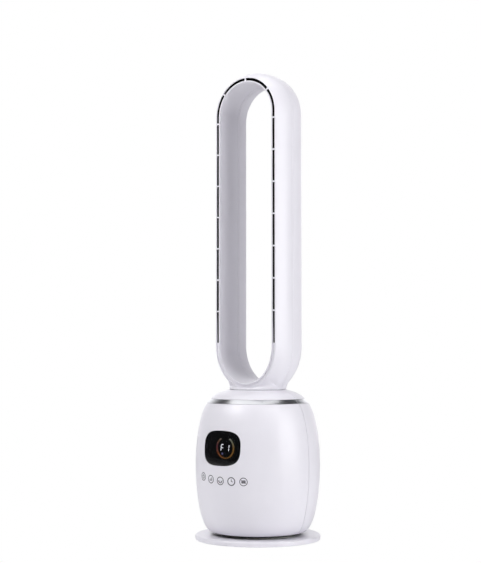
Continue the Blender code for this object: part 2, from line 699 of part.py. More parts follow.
def ring_places(with_ribs):
    """Stations round the loop, from the bottom centre up the right side and down the left."""
    bend = [math.pi / 2 * k / BEND_STEPS for k in range(BEND_STEPS, -1, -1)]
    half = [("bend", a) for a in bend]
    half.append(("right", BEND_Z + GAP))
    if with_ribs:
        half.append(("right", SLIT_END))
        for k in range(RIBS_PER_SIDE - 1, -1, -1):
            z = RIB_FIRST - RIB_PITCH * k
            half += [("right", z - RIB_W / 2), ("right", z + RIB_W / 2)]
        half.append(("right", ARCH_Z - GAP))
        edge = RIB_W / 2 / (SLIT_OUT - 2.0)
        upper = [90, 79, 68, 57]
        half += [("arch", math.radians(a)) for a in upper]
        half += [("arch", ARCH_RIB + edge), ("arch", ARCH_RIB - edge)]
        half += [("arch", math.radians(a)) for a in (38, 26, 13)]
        half.append(("arch", edge))
    else:
        half.append(("right", ARCH_Z - GAP))
        half += [("arch", math.radians(a)) for a in (90, 79, 68, 57, 46, 34.5, 23, 11.5, 0)]
    middle = (("bend", math.pi / 2), ("arch", 0))
    return half + [mirrored(p) for p in reversed(half) if p not in middle]


def mirrored(where):
    """The same station on the left of the loop."""
    kind, value = where
    if kind == "bend":
        return kind, math.pi - value
    return ("left", value) if kind == "right" else (kind, -value)


def is_rib(a, b):
    """Whether the span between two stations is one of the bridging ribs."""
    (kind_a, va), (kind_b, vb) = a, b
    if kind_a != kind_b or kind_a == "bend":
        return False
    width = abs(va - vb)
    return abs(width - (RIB_W / (SLIT_OUT - 2.0) if kind_a == "arch" else RIB_W)) < 1e-6


def in_slit(a, b):
    """Whether the span between two stations is open to the air."""
    low = min(SLIT_END if kind == "arch" else (0 if kind == "bend" else z) for kind, z in (a, b))
    return low >= SLIT_END - 1e-6 and not is_rib(a, b)


def same_section(places, section):
    """A test of whether a span of the ring lies in one of its four sections."""
    return lambda s: places[s][0] == section and places[(s + 1) % len(places)][0] == section


def section_points(where, table):
    return [Vector((x, y, z)) for (x, z), y in ((place_on_ring(w, where), y) for w, y in table)]


def make_loop(looks, turn):
    places = ring_places(True)
    outer = [skirt(p, -1, 71.2, LOOP_FRONT, (0.5, 0.86), SKIRT_STEPS) for p in places]
    inner = offset_skin(outer, SKIN, 1)
    for row_out, row_in, p in zip(outer, inner, places):
        closed = p[0] == "bend" or (p[0] in ("right", "left") and p[1] <= SLIT_END)
        floor = LOOP_FRONT + (1.8 if closed else 0.2)
        lip_back = LOOP_FRONT + (3.8 if closed else 1.3)
        face = [(SLIT_OUT, LOOP_FRONT), (SLIT_OUT - 0.3, floor), (SLIT_IN + 0.3, floor),
                (SLIT_IN, LOOP_FRONT), (62.2, LOOP_FRONT), (60.8, -16.0), (60.0, 18.0 - SEAM)]
        back = [(SLIT_OUT, lip_back), (SLIT_OUT - 0.3, lip_back), (SLIT_IN + 0.3, lip_back),
                (SLIT_IN, lip_back), (63.8, LOOP_FRONT + 2.6), (62.8, -16.0), (62.0, 18.0 - SEAM)]
        row_in[-1] = section_points(p, [(70.2, LOOP_FRONT + 2.6)])[0]
        row_out += section_points(p, face)
        row_in += section_points(p, back)
    first = SKIRT_STEPS + 1
    slit_cells = (first, first + 1, first + 2)
    count = len(places)

    def keep(s, i):
        return i not in slit_cells or not in_slit(places[s], places[(s + 1) % count])

    for section, name in LOOP_SECTIONS:
        mine = same_section(places, section)
        solid = strip_solid(outer, inner, lambda s, i: mine(s) and keep(s, i))
        finish(f"loop_front_{name}", solid, looks["shell"], turn, angle=30)

    places = ring_places(False)
    outer = [skirt(p, 1, 65.0, LOOP_BACK, (0.93, -0.3), SKIRT_STEPS) for p in places]
    inner = offset_skin(outer, SKIN, -1)
    for row_out, row_in, p in zip(outer, inner, places):
        row_in[-1] = section_points(p, [(66.6, LOOP_BACK - 2.6)])[0]
        row_out += section_points(p, [(63.2, 46.6), (61.6, 38.0), (60.4, 28.0), (60.0, 18.0 + SEAM)])
        row_in += section_points(p, [(65.4, 44.6), (63.6, 37.4), (62.4, 28.0), (62.0, 18.0 + SEAM)])
    for section, name in LOOP_SECTIONS:
        mine = same_section(places, section)
        solid = strip_solid(outer, inner, lambda s, i: mine(s))
        finish(f"loop_rear_{name}", solid, looks["shell"], turn, angle=30)


# ---------------------------------------------------------------- the whole fan

def main():
    clear_scene()
    looks = {
        "shell": paint("white_abs", (0.80, 0.79, 0.83), 0.25),
        "black": paint("black_abs", (0.02, 0.02, 0.022), 0.5),
        "grey": paint("grey_nylon", (0.35, 0.36, 0.38), 0.45),
        "chrome": paint("chromed_abs", (0.75, 0.75, 0.76), 0.12, 1.0),
        "lens": paint("smoked_acrylic", (0.01, 0.01, 0.012), 0.06),
        "lamp": paint("light_guide", (0.9, 0.88, 0.8), 0.3),
        "rubber": paint("rubber", (0.03, 0.03, 0.03), 0.8),
        "steel": paint("zinc_steel", (0.55, 0.55, 0.56), 0.35, 1.0),
        "cast": paint("cast_alloy", (0.5, 0.5, 0.51), 0.5, 1.0),
        "brass": paint("spring_brass", (0.7, 0.5, 0.25), 0.3, 1.0),
        "copper": paint("copper_winding", (0.6, 0.3, 0.15), 0.4, 1.0),
        "acetal": paint("acetal", (0.75, 0.75, 0.72), 0.4),
        "board": paint("circuit_board", (0.02, 0.15, 0.07), 0.5),
        "mesh": paint("dust_mesh", (0.06, 0.06, 0.065), 0.8),
    }
    root = pivot("base_frame", (0, 0, 0))
    turn = pivot("swing_axis", (0, 0, 0), root)
    pinion_axis = pivot("pinion_axis", (PINION_X, 0, 0), turn)
    impeller_axis = pivot("impeller_axis", (0, 0, 0), turn)
    make_base(looks, root)
    make_drive(looks, turn)
    make_pinion(looks, pinion_axis)
    make_shells(looks, turn)
    make_blower(looks, turn)
    make_rotor(looks, impeller_axis)
    make_neck(looks, turn)
    make_loop(looks, turn)


main()
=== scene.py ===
"""Bladeless loop tower fan: the finish of every piece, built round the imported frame.

The moulded shells, the plated trim, the display and the printed keys are made here as fine meshes on
the sizes of the frame; every other piece keeps its frame mesh and gets its own material.
Lengths in the functions are millimetres unless a name says otherwise.
"""

import json
from math import asin, copysign, cos, hypot, pi, radians, sin, sqrt

import bmesh
import bpy
from mathutils import Matrix, Vector


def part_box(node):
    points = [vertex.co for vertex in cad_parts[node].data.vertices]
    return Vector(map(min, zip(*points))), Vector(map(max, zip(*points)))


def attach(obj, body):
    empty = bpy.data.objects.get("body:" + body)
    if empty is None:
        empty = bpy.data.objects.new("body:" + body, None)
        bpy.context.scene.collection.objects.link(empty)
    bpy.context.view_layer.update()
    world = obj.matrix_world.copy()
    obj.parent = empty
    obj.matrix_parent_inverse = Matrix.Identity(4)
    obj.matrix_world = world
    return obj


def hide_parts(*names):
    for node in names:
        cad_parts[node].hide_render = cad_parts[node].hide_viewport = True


bl_info = {
    "name": "Bladeless loop fan",
    "version": (1, 0, 0),
    "blender": (4, 5, 0),
    "location": "3D View > Sidebar > Loop fan",
    "description": "Moulded shells, plated trim, lit display and printed keys of a bladeless tower fan",
    "category": "Add Mesh",
}

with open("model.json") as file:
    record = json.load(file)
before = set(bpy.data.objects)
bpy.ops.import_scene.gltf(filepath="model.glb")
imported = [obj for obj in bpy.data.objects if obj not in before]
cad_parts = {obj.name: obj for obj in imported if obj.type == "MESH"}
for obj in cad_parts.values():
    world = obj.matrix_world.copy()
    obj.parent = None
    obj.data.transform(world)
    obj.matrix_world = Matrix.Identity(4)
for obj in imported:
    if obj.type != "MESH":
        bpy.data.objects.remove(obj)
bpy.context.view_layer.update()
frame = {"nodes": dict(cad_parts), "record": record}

MM = 0.001
FRONT_ANGLE = -pi / 2


def box_mm(name):
    """Low and high corner of a frame node's box, in millimetres."""
    low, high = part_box(name)
    return low / MM, high / MM


# ---------------------------------------------------------------- sizes read from the frame

BARREL_LOW, BARREL_HIGH = box_mm("front_shell")
RING_BOX_LOW, RING_BOX_HIGH = box_mm("trim_ring_front")
DISC_LOW, DISC_HIGH = box_mm("base_cover")
LENS_LOW, LENS_HIGH = box_mm("display_lens")
GUIDE_LOW, GUIDE_HIGH = box_mm("light_ring")
SPRING_LOW, SPRING_HIGH = box_mm("touch_spring_3")
NECK_LOW = box_mm("loop_front_neck")[0]
ARCH_HIGH = box_mm("loop_front_arch")[1]
DIGIT_LOW = box_mm("digit_block")[0]
GLAND_HIGH = box_mm("cord_gland")[1]

GAP = 0.3
SEAM = -BARREL_HIGH.y  # half of the gap along the parting line
SEAM_RELIEF = 0.35  # how far each edge is eased back, so that the line reads as a fine groove
WALL = 2.4

# the barrel wall is a half ellipse standing on a core cylinder, a little longer below than above
BARREL_CORE = 88.4
BARREL_BULGE = BARREL_HIGH.x - BARREL_CORE
BARREL_MID = 143.8
BARREL_UP = 123.4
BARREL_DOWN = 126.8
BARREL_FOOT = BARREL_LOW.z
DOME_TOP = BARREL_HIGH.z
DOME_HOLE = 50.6
RING_LOW = RING_BOX_LOW.z - GAP
RING_HIGH = RING_BOX_HIGH.z + GAP
RING_TOP_R = 90.0

# intake slots: two rows of upright slots round the back
SLOT_HALF_W = 2.2
SLOT_ROWS = ((104.0, 36.0), (182.0, 34.0))  # middle height and half length
SLOT_STEP = radians(7.0)
SLOTS_EACH_SIDE = 6

# the loop: an arch, two straight sides, and a bend that runs down into the round neck
LOOP_W = ARCH_HIGH.x
LOOP_TOP = ARCH_HIGH.z
FOOT_Z = NECK_LOW.z
LOOP_FRONT = -40.2
LOOP_BACK = 48.0
ARCH_Z = LOOP_TOP - LOOP_W
BEND_Z = 371.0
BEND_DROP = 9.8
BEND_STATIONS = 44
ARCH_STATIONS = (14, 18)  # from the side to the arch rib, and from that rib to the top one
NECK_R = 54.0
NECK_CORNER = 6 / 11  # share of the bend where the seam meets the round foot
LOOP_PARTS = ("neck", "side_right", "arch", "side_left")
SLIT_END = 377.4
SLIT_OUT = 69.7
SLIT_IN = 64.6
RIB_W = 2.8
RIB_PITCH = 61.12
RIB_FIRST = ARCH_Z - 13.2
RIBS_PER_SIDE = 7
ARCH_RIB = radians(50.5)
ARCH_RIB_SPAN = RIB_W / (SLIT_OUT - 2.0)
SKIN = 2.0
SKIN_STEPS = 16
INNER_SEAM = 18.0
EXTRA_SEAM_POINTS = 2
SKIRT_PULL = 0.36
BEND_PULL = 0.14  # added where the skin runs down into the neck
FOOT_TURN = radians(30)
FOOT_FLARE = 0.43

LENS_Z = (LENS_LOW.z + LENS_HIGH.z) / 2
LENS_HALF_H = (LENS_HIGH.z - LENS_LOW.z) / 2
LENS_HALF_W = LENS_HIGH.x
LENS_THICK = 2.2

# lit ring: its band inside the light guide, and the angle where it starts, left of the top
GLOW_OUTSET = 0.9
GLOW_BAND = 1.6
GLOW_START = radians(122)
GLOW_SPAN = radians(296)

DIGIT_W = 5.6
DIGIT_BAR = 1.3
DIGIT_SLANT = 0.09
DIGITS = (("F", "aefg", -8.2), ("1", "bc", 4.6))  # sign, lit bars, left edge
DOT_R = 1.9
DOT_AT = (-5.4, -11.0)

KEY_Z = (SPRING_LOW.z + SPRING_HIGH.z) / 2
KEY_STEP = radians(11.5)
KEY_TURN = radians(0.9)
KEY_RISE = (5.0, 1.7, 0.0, 0.0, 0.0)  # how far each key stands above the last one
KEY_BOLD = 1.3

DISC_R = DISC_HIGH.x
DISC_WALL = 2.2
DISC_RIM = 3.4
DISC_EDGE = 1.6
DISC_HUB = 14.6
GLAND_NOTCH = ((-4.2, 104.0), (4.2, 104.0), (4.2, 124.0), (-4.2, 124.0))


# ---------------------------------------------------------------- settings a user would change

def length(name, about, default, low, high):
    """A length in millimetres that a user can change."""
    about += ", in mm"
    return bpy.props.FloatProperty(name=name, description=about, default=default, min=low, max=high)


def tone(name, about, default):
    """A colour that a user can change."""
    return bpy.props.StringProperty(name=name, description=about, default=default)


class LoopFanSizes(bpy.types.PropertyGroup):
    """Sizes of the finish; the shells follow the frame."""

    seam_round: length("Seam rounding", "Radius of the moulded edges along the parting line", 0.6, 0.1, 1.5)
    lens_edge: length("Lens edge", "Width of the polished edge round the display window", 0.8, 0.2, 2.0)
    key_radius: length("Key circle", "Radius of the printed circle round each touch key", 7.15, 5.0, 9.0)
    key_line: length("Key line", "Width of the printed lines", 1.4, 0.3, 1.5)
    ink_height: length("Ink height", "Thickness of the printed ink", 0.05, 0.02, 0.2)
    digit_height: length("Digit height", "Height of the display digits", 12.0, 6.0, 16.0)


class LoopFanColours(bpy.types.PropertyGroup):
    """Main colours, as sRGB hex values."""

    shell: tone("Shell", "Gloss white ABS of the shells, the loop and the foot", "E4E2E9")
    shell_shade: tone("Shell shade", "Second tone of the moulded white", "E0DEE6")
    ink: tone("Key ink", "Dark grey of the printed touch keys", "413F47")
    lens: tone("Lens", "Smoked acrylic of the display window", "08080A")
    digits: tone("Digits", "Colour of the lit digits", "F4F6FF")
    amber: tone("Ring", "Main colour of the lit ring", "B87A3A")


def sizes():
    """The scene's sizes."""
    return bpy.context.scene.loop_fan_sizes


def colours():
    """The scene's colours."""
    return bpy.context.scene.loop_fan_colours


# ---------------------------------------------------------------- materials

def srgb(code):
    """Linear RGBA of an sRGB hex value."""
    parts = [int(code[k:k + 2], 16) / 255 for k in (0, 2, 4)]
    linear = [p / 12.92 if p <= 0.04045 else ((p + 0.055) / 1.055) ** 2.4 for p in parts]
    return (*linear, 1.0)


def add(tree, kind, inputs=None, **settings):
    """Add a node with its settings and its input values or links."""
    made = tree.nodes.new(kind)
    for key, value in settings.items():
        setattr(made, key, value)
    for key, value in (inputs or {}).items():
        if isinstance(value, bpy.types.NodeSocket):
            tree.links.new(value, made.inputs[key])
        else:
            made.inputs[key].default_value = value
    return made


def surface(name, ior=1.5, metallic=0.0, **shader_inputs):
    """A material with its tree, its shader and object coordinates in metres."""
    mat = bpy.data.materials.new(name)
    mat.use_nodes = True
    tree = mat.node_tree
    shader = tree.nodes["Principled BSDF"]
    shader.inputs["IOR"].default_value = ior
    shader.inputs["Metallic"].default_value = metallic
    for key, value in shader_inputs.items():
        shader.inputs[key.replace("_", " ")].default_value = value
    place = add(tree, "ShaderNodeTexCoord").outputs["Object"]
    return mat, tree, shader, place


def per_metre(mm):
    """Noise scale whose features are about mm wide."""
    return 1.0 / (mm * MM)


def blend(tree, factor, first, second):
    """Colour between two tones, as a pattern says."""
    mix = add(tree, "ShaderNodeMix", {"Factor": factor}, data_type="RGBA")
    colour_a, colour_b = [socket for socket in mix.inputs if socket.type == "RGBA"]
    colour_a.default_value = first
    colour_b.default_value = second
    return next(socket for socket in mix.outputs if socket.type == "RGBA")


def noise(tree, place, size_mm, detail=2.0):
    """Soft random pattern whose features are about size_mm wide."""
    made = add(tree, "ShaderNodeTexNoise", {"Vector": place, "Scale": per_metre(size_mm), "Detail": detail})
    return made.outputs["Fac"]


def tinted(tree, shader, pattern, light, dark):
    """Base colour between two tones, as a pattern says."""
    tree.links.new(blend(tree, pattern, srgb(light), srgb(dark)), shader.inputs["Base Color"])


def mottled(tree, shader, place, light, dark, patch_mm):
    """Colour that drifts between two near tones in patches."""
    patches = noise(tree, place, patch_mm, 3.0)
    tinted(tree, shader, patches, light, dark)
    return patches


def rough_band(tree, shader, source, low, high):
    """Roughness that follows a pattern between two values."""
    band = add(tree, "ShaderNodeMapRange", {"Value": source, "To Min": low, "To Max": high})
    tree.links.new(band.outputs["Result"], shader.inputs["Roughness"])


def relief(tree, shader, pattern, height_mm, strength=1.0):
    """Bump that follows a pattern."""
    bump = add(tree, "ShaderNodeBump", {"Height": pattern, "Distance": height_mm * MM, "Strength": strength})
    tree.links.new(bump.outputs["Normal"], shader.inputs["Normal"])


def grain(tree, shader, place, size_mm, height_mm, strength):
    """Fine relief left by the tool's surface."""
    fine = noise(tree, place, size_mm)
    relief(tree, shader, fine, height_mm, strength)
    return fine


def ridged(tree, shader, pattern, height_mm, low, high):
    """Relief and roughness that follow one pattern."""
    relief(tree, shader, pattern, height_mm)
    rough_band(tree, shader, pattern, low, high)


def stretched(tree, place, scale):
    """Coordinates drawn out along an axis, for streaks and rolling lines."""
    if max(scale) == 1:
        return place
    return add(tree, "ShaderNodeMapping", {"Vector": place, "Scale": scale}).outputs["Vector"]


def glowing(tree, shader, colour, strength, unlit):
    """Light from behind a piece, and the tone it has where no light gets through."""
    tree.links.new(colour, shader.inputs["Emission Color"])
    shader.inputs["Emission Strength"].default_value = strength
    shader.inputs["Base Color"].default_value = srgb(unlit)


def finish(name, tones, patch_mm, rough, texture=None, grain_sets_rough=True, streaks=(1, 1, 1),
           lines=(1, 1, 1), **shader_inputs):
    """Material of two near tones in patches, a band of roughness and, where given, a grain."""
    mat, tree, shader, place = surface(name, **shader_inputs)
    light, dark = tones
    pattern = mottled(tree, shader, stretched(tree, place, streaks), light, dark, patch_mm)
    if texture:
        fine = grain(tree, shader, stretched(tree, place, lines), *texture)
        pattern = fine if grain_sets_rough else pattern
    rough_band(tree, shader, pattern, *rough)
    return mat


def gloss_abs():
    """ABS, injection moulded and polished: a soft-edged gloss with a faint slow ripple."""
    tones = (colours().shell, colours().shell_shade)
    return finish("ABS_gloss_white", tones, 60.0, (0.3, 0.38), (9.0, 0.002, 0.3), False, ior=1.54)


def painted_slit_shade():
    """Painted shade: matt black on the inner faces of the loop, slightly uneven, standing in for the shade
    deep inside the hollow loop so that the slit reads as dark.
    """
    return finish("painted_slit_shade_black", ("0E0E0F", "151516"), 25.0, (0.75, 0.9))


def satin_abs():
    """ABS, spark-textured and black: soft grey sheen broken by a fine grain."""
    return finish("ABS_textured_black", ("1B1B1D", "141415"), 14.0, (0.42, 0.6), (0.9, 0.03, 0.5), ior=1.53)


def plated_abs():
    """Chrome-plated ABS, satin: long soft reflections with a slight waviness from the plastic under it."""
    return finish("ABS_chrome_plated", ("D9DADD", "CFD0D4"), 30.0, (0.2, 0.26), (18.0, 0.001, 0.2), False,
                  metallic=1.0)


def smoked_acrylic():
    """PMMA, smoked and polished: black and glossy, lets the lit ring through."""
    return finish("PMMA_smoked", (colours().lens, "0C0C0F"), 20.0, (0.04, 0.08), ior=1.49, Alpha=0.8)


def lit_ring():
    """Frosted PMMA light guide: amber below, reddish on the left, pale at its open ends."""
    mat, tree, shader, place = surface("PMMA_light_guide", ior=1.49, Roughness=0.4)
    xyz = add(tree, "ShaderNodeSeparateXYZ", {"Vector": place})
    height = add(tree, "ShaderNodeMath", {0: xyz.outputs["Z"], 1: LENS_Z * MM}, operation="SUBTRACT")
    angle = add(tree, "ShaderNodeMath", {0: xyz.outputs["X"], 1: height.outputs[0]}, operation="ARCTAN2")
    turn = add(tree, "ShaderNodeMapRange", {"Value": angle.outputs[0], "From Min": -pi,
                                            "From Max": pi})
    ramp = add(tree, "ShaderNodeValToRGB", {"Fac": turn.outputs["Result"]})
    stops = ((0.0, colours().amber), (0.17, "B8653A"), (0.27, "8C4A5C"), (0.36, "9A6A4A"),
             (0.44, "B9B4AE"), (0.57, "C9CDC4"), (0.66, "A8A98C"), (0.76, "B98A44"), (1.0, colours().amber))
    band = ramp.color_ramp
    while len(band.elements) < len(stops):
        band.elements.new(0.5)
    for element, (share, code) in zip(band.elements, stops):
        element.position = share
        element.color = srgb(code)
    speckle = noise(tree, place, 2.5)
    dim = add(tree, "ShaderNodeMapRange", {"Value": speckle, "To Min": 0.25, "To Max": 1.6})
    uneven = add(tree, "ShaderNodeVectorMath", {0: ramp.outputs["Color"], "Scale": dim.outputs["Result"]},
                 operation="SCALE")
    glowing(tree, shader, uneven.outputs["Vector"], 6.5, "2A2622")
    return mat


def lit_segment(name, code, strength):
    """Epoxy-filled segment, lit from behind, with a slightly uneven glow."""
    mat, tree, shader, place = surface(name, ior=1.5, Roughness=0.35)
    full = srgb(code)
    glow = blend(tree, noise(tree, place, 1.5), full, [c * 0.8 for c in full])
    glowing(tree, shader, glow, strength, "303030")
    return mat


def key_ink():
    """Pad-printed ink: dark grey and flat, with a slightly broken tone."""
    return finish("ink_pad_printed", (colours().ink, "4C4A52"), 1.2, (0.45, 0.6))


def moulded_rubber():
    """Nitrile rubber, moulded: near black and matt, with a dry bloom."""
    return finish("rubber_nitrile", ("232323", "2C2B2A"), 4.0, (0.7, 0.85), (0.7, 0.04, 0.6), ior=1.52)


def zinc_steel():
    """Steel, zinc plated: bluish grey with cloudy passivation and fine rolling lines."""
    return finish("steel_zinc_plated", ("B9BDC2", "A6A9AC"), 8.0, (0.28, 0.42), (3.0, 0.02, 0.4),
                  lines=(1, 14, 1), metallic=1.0)


def cast_alloy():
    """Zinc die casting: dull silver, slightly pitted."""
    return finish("zinc_die_cast", ("A9A9AB", "939496"), 6.0, (0.45, 0.6), (1.2, 0.05, 0.6), metallic=1.0)


def natural_acetal():
    """Acetal, natural and moulded: waxy off-white with a soft sheen."""
    return finish("acetal_natural", ("E6E4DC", "DDDBD2"), 10.0, (0.32, 0.42), (1.5, 0.02, 0.4), ior=1.48,
                  Subsurface_Weight=0.1)


def filled_nylon():
    """Glass-filled nylon: mid grey with streaks of fibre near the surface."""
    return finish("nylon_glass_filled", ("8A8C90", "7A7C80"), 5.0, (0.4, 0.55), (1.0, 0.03, 0.5),
                  streaks=(1, 1, 6), ior=1.53)


def spring_brass():
    """Gold-flashed brass wire: warm, bright, faintly drawn."""
    return finish("brass_drawn", ("CBA35A", "B98F4A"), 2.0, (0.22, 0.34), (0.4, 0.01, 0.4), metallic=1.0)


def wound_copper():
    """Enamelled copper windings on a lamination stack: fine turns of wire as ridges."""
    mat, tree, shader, place = surface("copper_enamelled", metallic=1.0)
    mottled(tree, shader, place, "A8613A", "8C4D2E", 3.0)
    turns = add(tree, "ShaderNodeTexWave", {"Vector": place, "Scale": per_metre(4.0)}, bands_direction="Z")
    ridged(tree, shader, turns.outputs["Fac"], 0.2, 0.3, 0.45)
    return mat


def solder_mask():
    """Glass-epoxy board under green solder mask, with copper runs showing as raised lines."""
    mat, tree, shader, place = surface("epoxy_solder_mask", ior=1.55)
    runs = add(tree, "ShaderNodeTexVoronoi", {"Vector": place, "Scale": per_metre(6.0)},
               distance="MANHATTAN", feature="F1")
    tinted(tree, shader, runs.outputs["Distance"], "1F5A35", "123A22")
    ridged(tree, shader, runs.outputs["Distance"], 0.1, 0.3, 0.5)
    return mat


def woven_screen():
    """Nylon dust mesh: dark threads at about 1 mm, drawn coarser than the real half millimetre."""
    mat, tree, shader, place = surface("nylon_mesh_woven", ior=1.53)
    sets = [add(tree, "ShaderNodeTexWave", {"Vector": place, "Scale": per_metre(6.0)},
                bands_direction=way) for way in ("X", "Z")]
    weave = add(tree, "ShaderNodeMath", {0: sets[0].outputs["Fac"], 1: sets[1].outputs["Fac"]},
                operation="MAXIMUM")
    tinted(tree, shader, weave.outputs[0], "070708", "2E2F33")
    ridged(tree, shader, weave.outputs[0], 0.3, 0.6, 0.8)
    return mat


FINISHES = {
    "white_abs": gloss_abs, "black_abs": satin_abs, "chromed_abs": plated_abs,
    "smoked_acrylic": smoked_acrylic, "rubber": moulded_rubber, "zinc_steel": zinc_steel,
    "cast_alloy": cast_alloy, "acetal": natural_acetal, "grey_nylon": filled_nylon,
    "spring_brass": spring_brass, "copper_winding": wound_copper, "circuit_board": solder_mask,
    "dust_mesh": woven_screen, "light_guide": lit_ring,
}
MADE = {}


def finish_of(slot):
    """The material of a record slot, made once."""
    if slot not in MADE:
        MADE[slot] = FINISHES[slot]()
    return MADE[slot]


SLOT_OF = {part["node"]: part["material_slot"] for part in frame["record"]["subparts"]}


def dress(*names):
    """Give frame nodes that stay in view the material of their slot."""
    for name in names:
        node = frame["nodes"][name]
        node.data.materials.clear()
        node.data.materials.append(finish_of(SLOT_OF[name]))
        for polygon in node.data.polygons:
            polygon.material_index = 0
        node.data.shade_smooth()
        node.data.set_sharp_from_angle(angle=radians(32))


# ---------------------------------------------------------------- mesh helpers

def into_scene(name, data):
    """New object with its data, linked into the scene."""
    made = bpy.data.objects.new(name, data)
    bpy.context.scene.collection.objects.link(made)
    return made


def mesh_of(name, bm, unit=1.0):
    """Mesh from a bmesh whose points are given in a unit of that many metres."""
    bmesh.ops.scale(bm, vec=(unit, unit, unit), verts=bm.verts)
    mesh = bpy.data.meshes.new(name)
    bm.to_mesh(mesh)
    bm.free()
    return mesh


def to_piece(name, bm, slot, replaces=(), look=None, angle=30, body="housing"):
    """Turn a bmesh in millimetres into a piece that rides on a body."""
    bmesh.ops.recalc_face_normals(bm, faces=bm.faces)
    if bm.calc_volume(signed=True) < 0:
        bmesh.ops.reverse_faces(bm, faces=bm.faces)
    mesh = mesh_of(name, bm, MM)
    mesh.shade_smooth()
    mesh.set_sharp_from_angle(angle=radians(angle))
    mesh.materials.append(look or finish_of(slot))
    piece = into_scene(name, mesh)
    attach(piece, body)
    if replaces:
        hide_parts(*replaces)
    return piece


def cut(piece, bm, name):
    """Take a block, given in millimetres, out of a piece."""
    bmesh.ops.recalc_face_normals(bm, faces=bm.faces)
    cutter = into_scene(name, mesh_of(name, bm, MM))
    mod = piece.modifiers.new(name, "BOOLEAN")
    mod.operation = "DIFFERENCE"
    mod.object = cutter
    bpy.context.view_layer.update()
    cut_piece = piece.evaluated_get(bpy.context.evaluated_depsgraph_get())
    done = bpy.data.meshes.new_from_object(cut_piece)
    piece.modifiers.clear()
    piece.data = done
    bpy.data.objects.remove(cutter, do_unlink=True)


def prism(outline, low, high, bm=None):
    """Extrude a closed (x, y) outline from low to high."""
    bm = bm or bmesh.new()
    face = bm.faces.new([bm.verts.new((x, y, low)) for x, y in outline])
    out = bmesh.ops.extrude_face_region(bm, geom=[face])
    top = [v for v in out["geom"] if isinstance(v, bmesh.types.BMVert)]
    bmesh.ops.translate(bm, vec=(0, 0, high - low), verts=top)
    return bm


def stand_up(bm, height, verts=None):
    """Turn a block made along +Z to face the front at the given height."""
    for v in verts or bm.verts:
        v.co = (v.co.x, -v.co.z, v.co.y + height)
    return bm


def arc(radius, start, sweep, count, centre=(0.0, 0.0)):
    """Points of an arc round a centre, with its angles in degrees."""
    angles = [radians(start + sweep * k / count) for k in range(count + 1)]
    return [(centre[0] + radius * cos(a), centre[1] + radius * sin(a)) for a in angles]


def bezier(p0, p1, p2, p3, t):
    """Point of a cubic curve."""
    s = 1.0 - t
    return [s * s * s * a + 3 * s * s * t * b + 3 * s * t * t * c + t * t * t * d
            for a, b, c, d in zip(p0, p1, p2, p3)]


def sleeve(bm, rows, closed=False):
    """Skin through rings of points; closed joins the last ring to the first. Gives the rings."""
    rings = [[bm.verts.new(p) for p in row] for row in rows]
    for one, two in zip(rings, rings[1:] + (rings[:1] if closed else [])):
        for k in range(len(one)):
            bm.faces.new((one[k - 1], one[k], two[k], two[k - 1]))
    return rings


def grid_solid(rows, closed=False, bm=None):
    """Close a solid from rings of points; an open one has a face at each end."""
    bm = bm or bmesh.new()
    rings = sleeve(bm, rows, closed)
    if not closed:
        bm.faces.new(rings[0])
        bm.faces.new(list(reversed(rings[-1])))
    return bm


def squircle(half_w, half_h, count, power=3.0):
    """Outline between an ellipse and a rectangle."""
    points = []
    for k in range(count):
        a = 2 * pi * (k + 0.5) / count
        c, s = cos(a), sin(a)
        points.append((half_w * copysign(abs(c) ** (2 / power), c),
                       half_h * copysign(abs(s) ** (2 / power), s)))
    return points


# ---------------------------------------------------------------- barrel

def wall_radius(z):
    """Outer radius of the barrel at a height."""
    half = BARREL_UP if z > BARREL_MID else BARREL_DOWN
    u = min(1.0, abs(z - BARREL_MID) / half)
    return BARREL_CORE + BARREL_BULGE * sqrt(1.0 - u * u)


def wall_curve(inset, low, high, count):
    """Points of the barrel wall from low to high, close together where it turns."""
    start = asin(max(-1.0, (low - BARREL_MID) / (BARREL_DOWN - inset)))
    end = asin((high - BARREL_MID) / (BARREL_UP - inset))
    points = []
    for k in range(count + 1):
        a = start + (end - start) * k / count
        half = BARREL_UP if a > 0 else BARREL_DOWN
        z = BARREL_MID + (half - inset) * sin(a)
        points.append((BARREL_CORE + (BARREL_BULGE - inset) * cos(a), z))
    return points


def dome_curve(drop, count):
    """Points of the dome from the ring in to the neck."""
    ends = ((RING_TOP_R, RING_HIGH - drop), (83.0, 279.5 - drop),
            (70.0, 283.5 - drop), (56.5, DOME_TOP - drop))
    return [tuple(bezier(*ends, k / count)) for k in range(count + 1)]


def shell_outline(inset):
    """Section of a barrel half; inset pulls the outer skin in, for the rounded seam edge."""
    outside = wall_curve(inset, BARREL_FOOT, RING_LOW, 44)
    rebate = [(outside[-1][0] - 2.0 + inset, RING_LOW), (RING_TOP_R - 2.0, RING_HIGH)]
    top = dome_curve(inset, 14) + [(DOME_HOLE, DOME_TOP - inset)]
    under = [(DOME_HOLE, DOME_TOP - WALL)] + dome_curve(WALL, 8)[::-1][:-1]
    inside = wall_curve(WALL, BARREL_FOOT + 2.2, RING_LOW - 3.0, 20)[::-1]
    return outside + rebate + top + under + inside


def ring_outline(inset):
    """Section of the trim ring: a flat cone with softened corners."""
    foot = wall_radius(RING_LOW)
    low, high = RING_LOW + GAP, RING_HIGH - GAP
    r = 0.25
    return [(foot - r - inset, low), (foot - 0.05 - inset, low + r), (RING_TOP_R + 0.1 - inset, high - r),
            (RING_TOP_R - r - inset, high), (RING_TOP_R - 1.2, high), (foot - 1.2, low)]


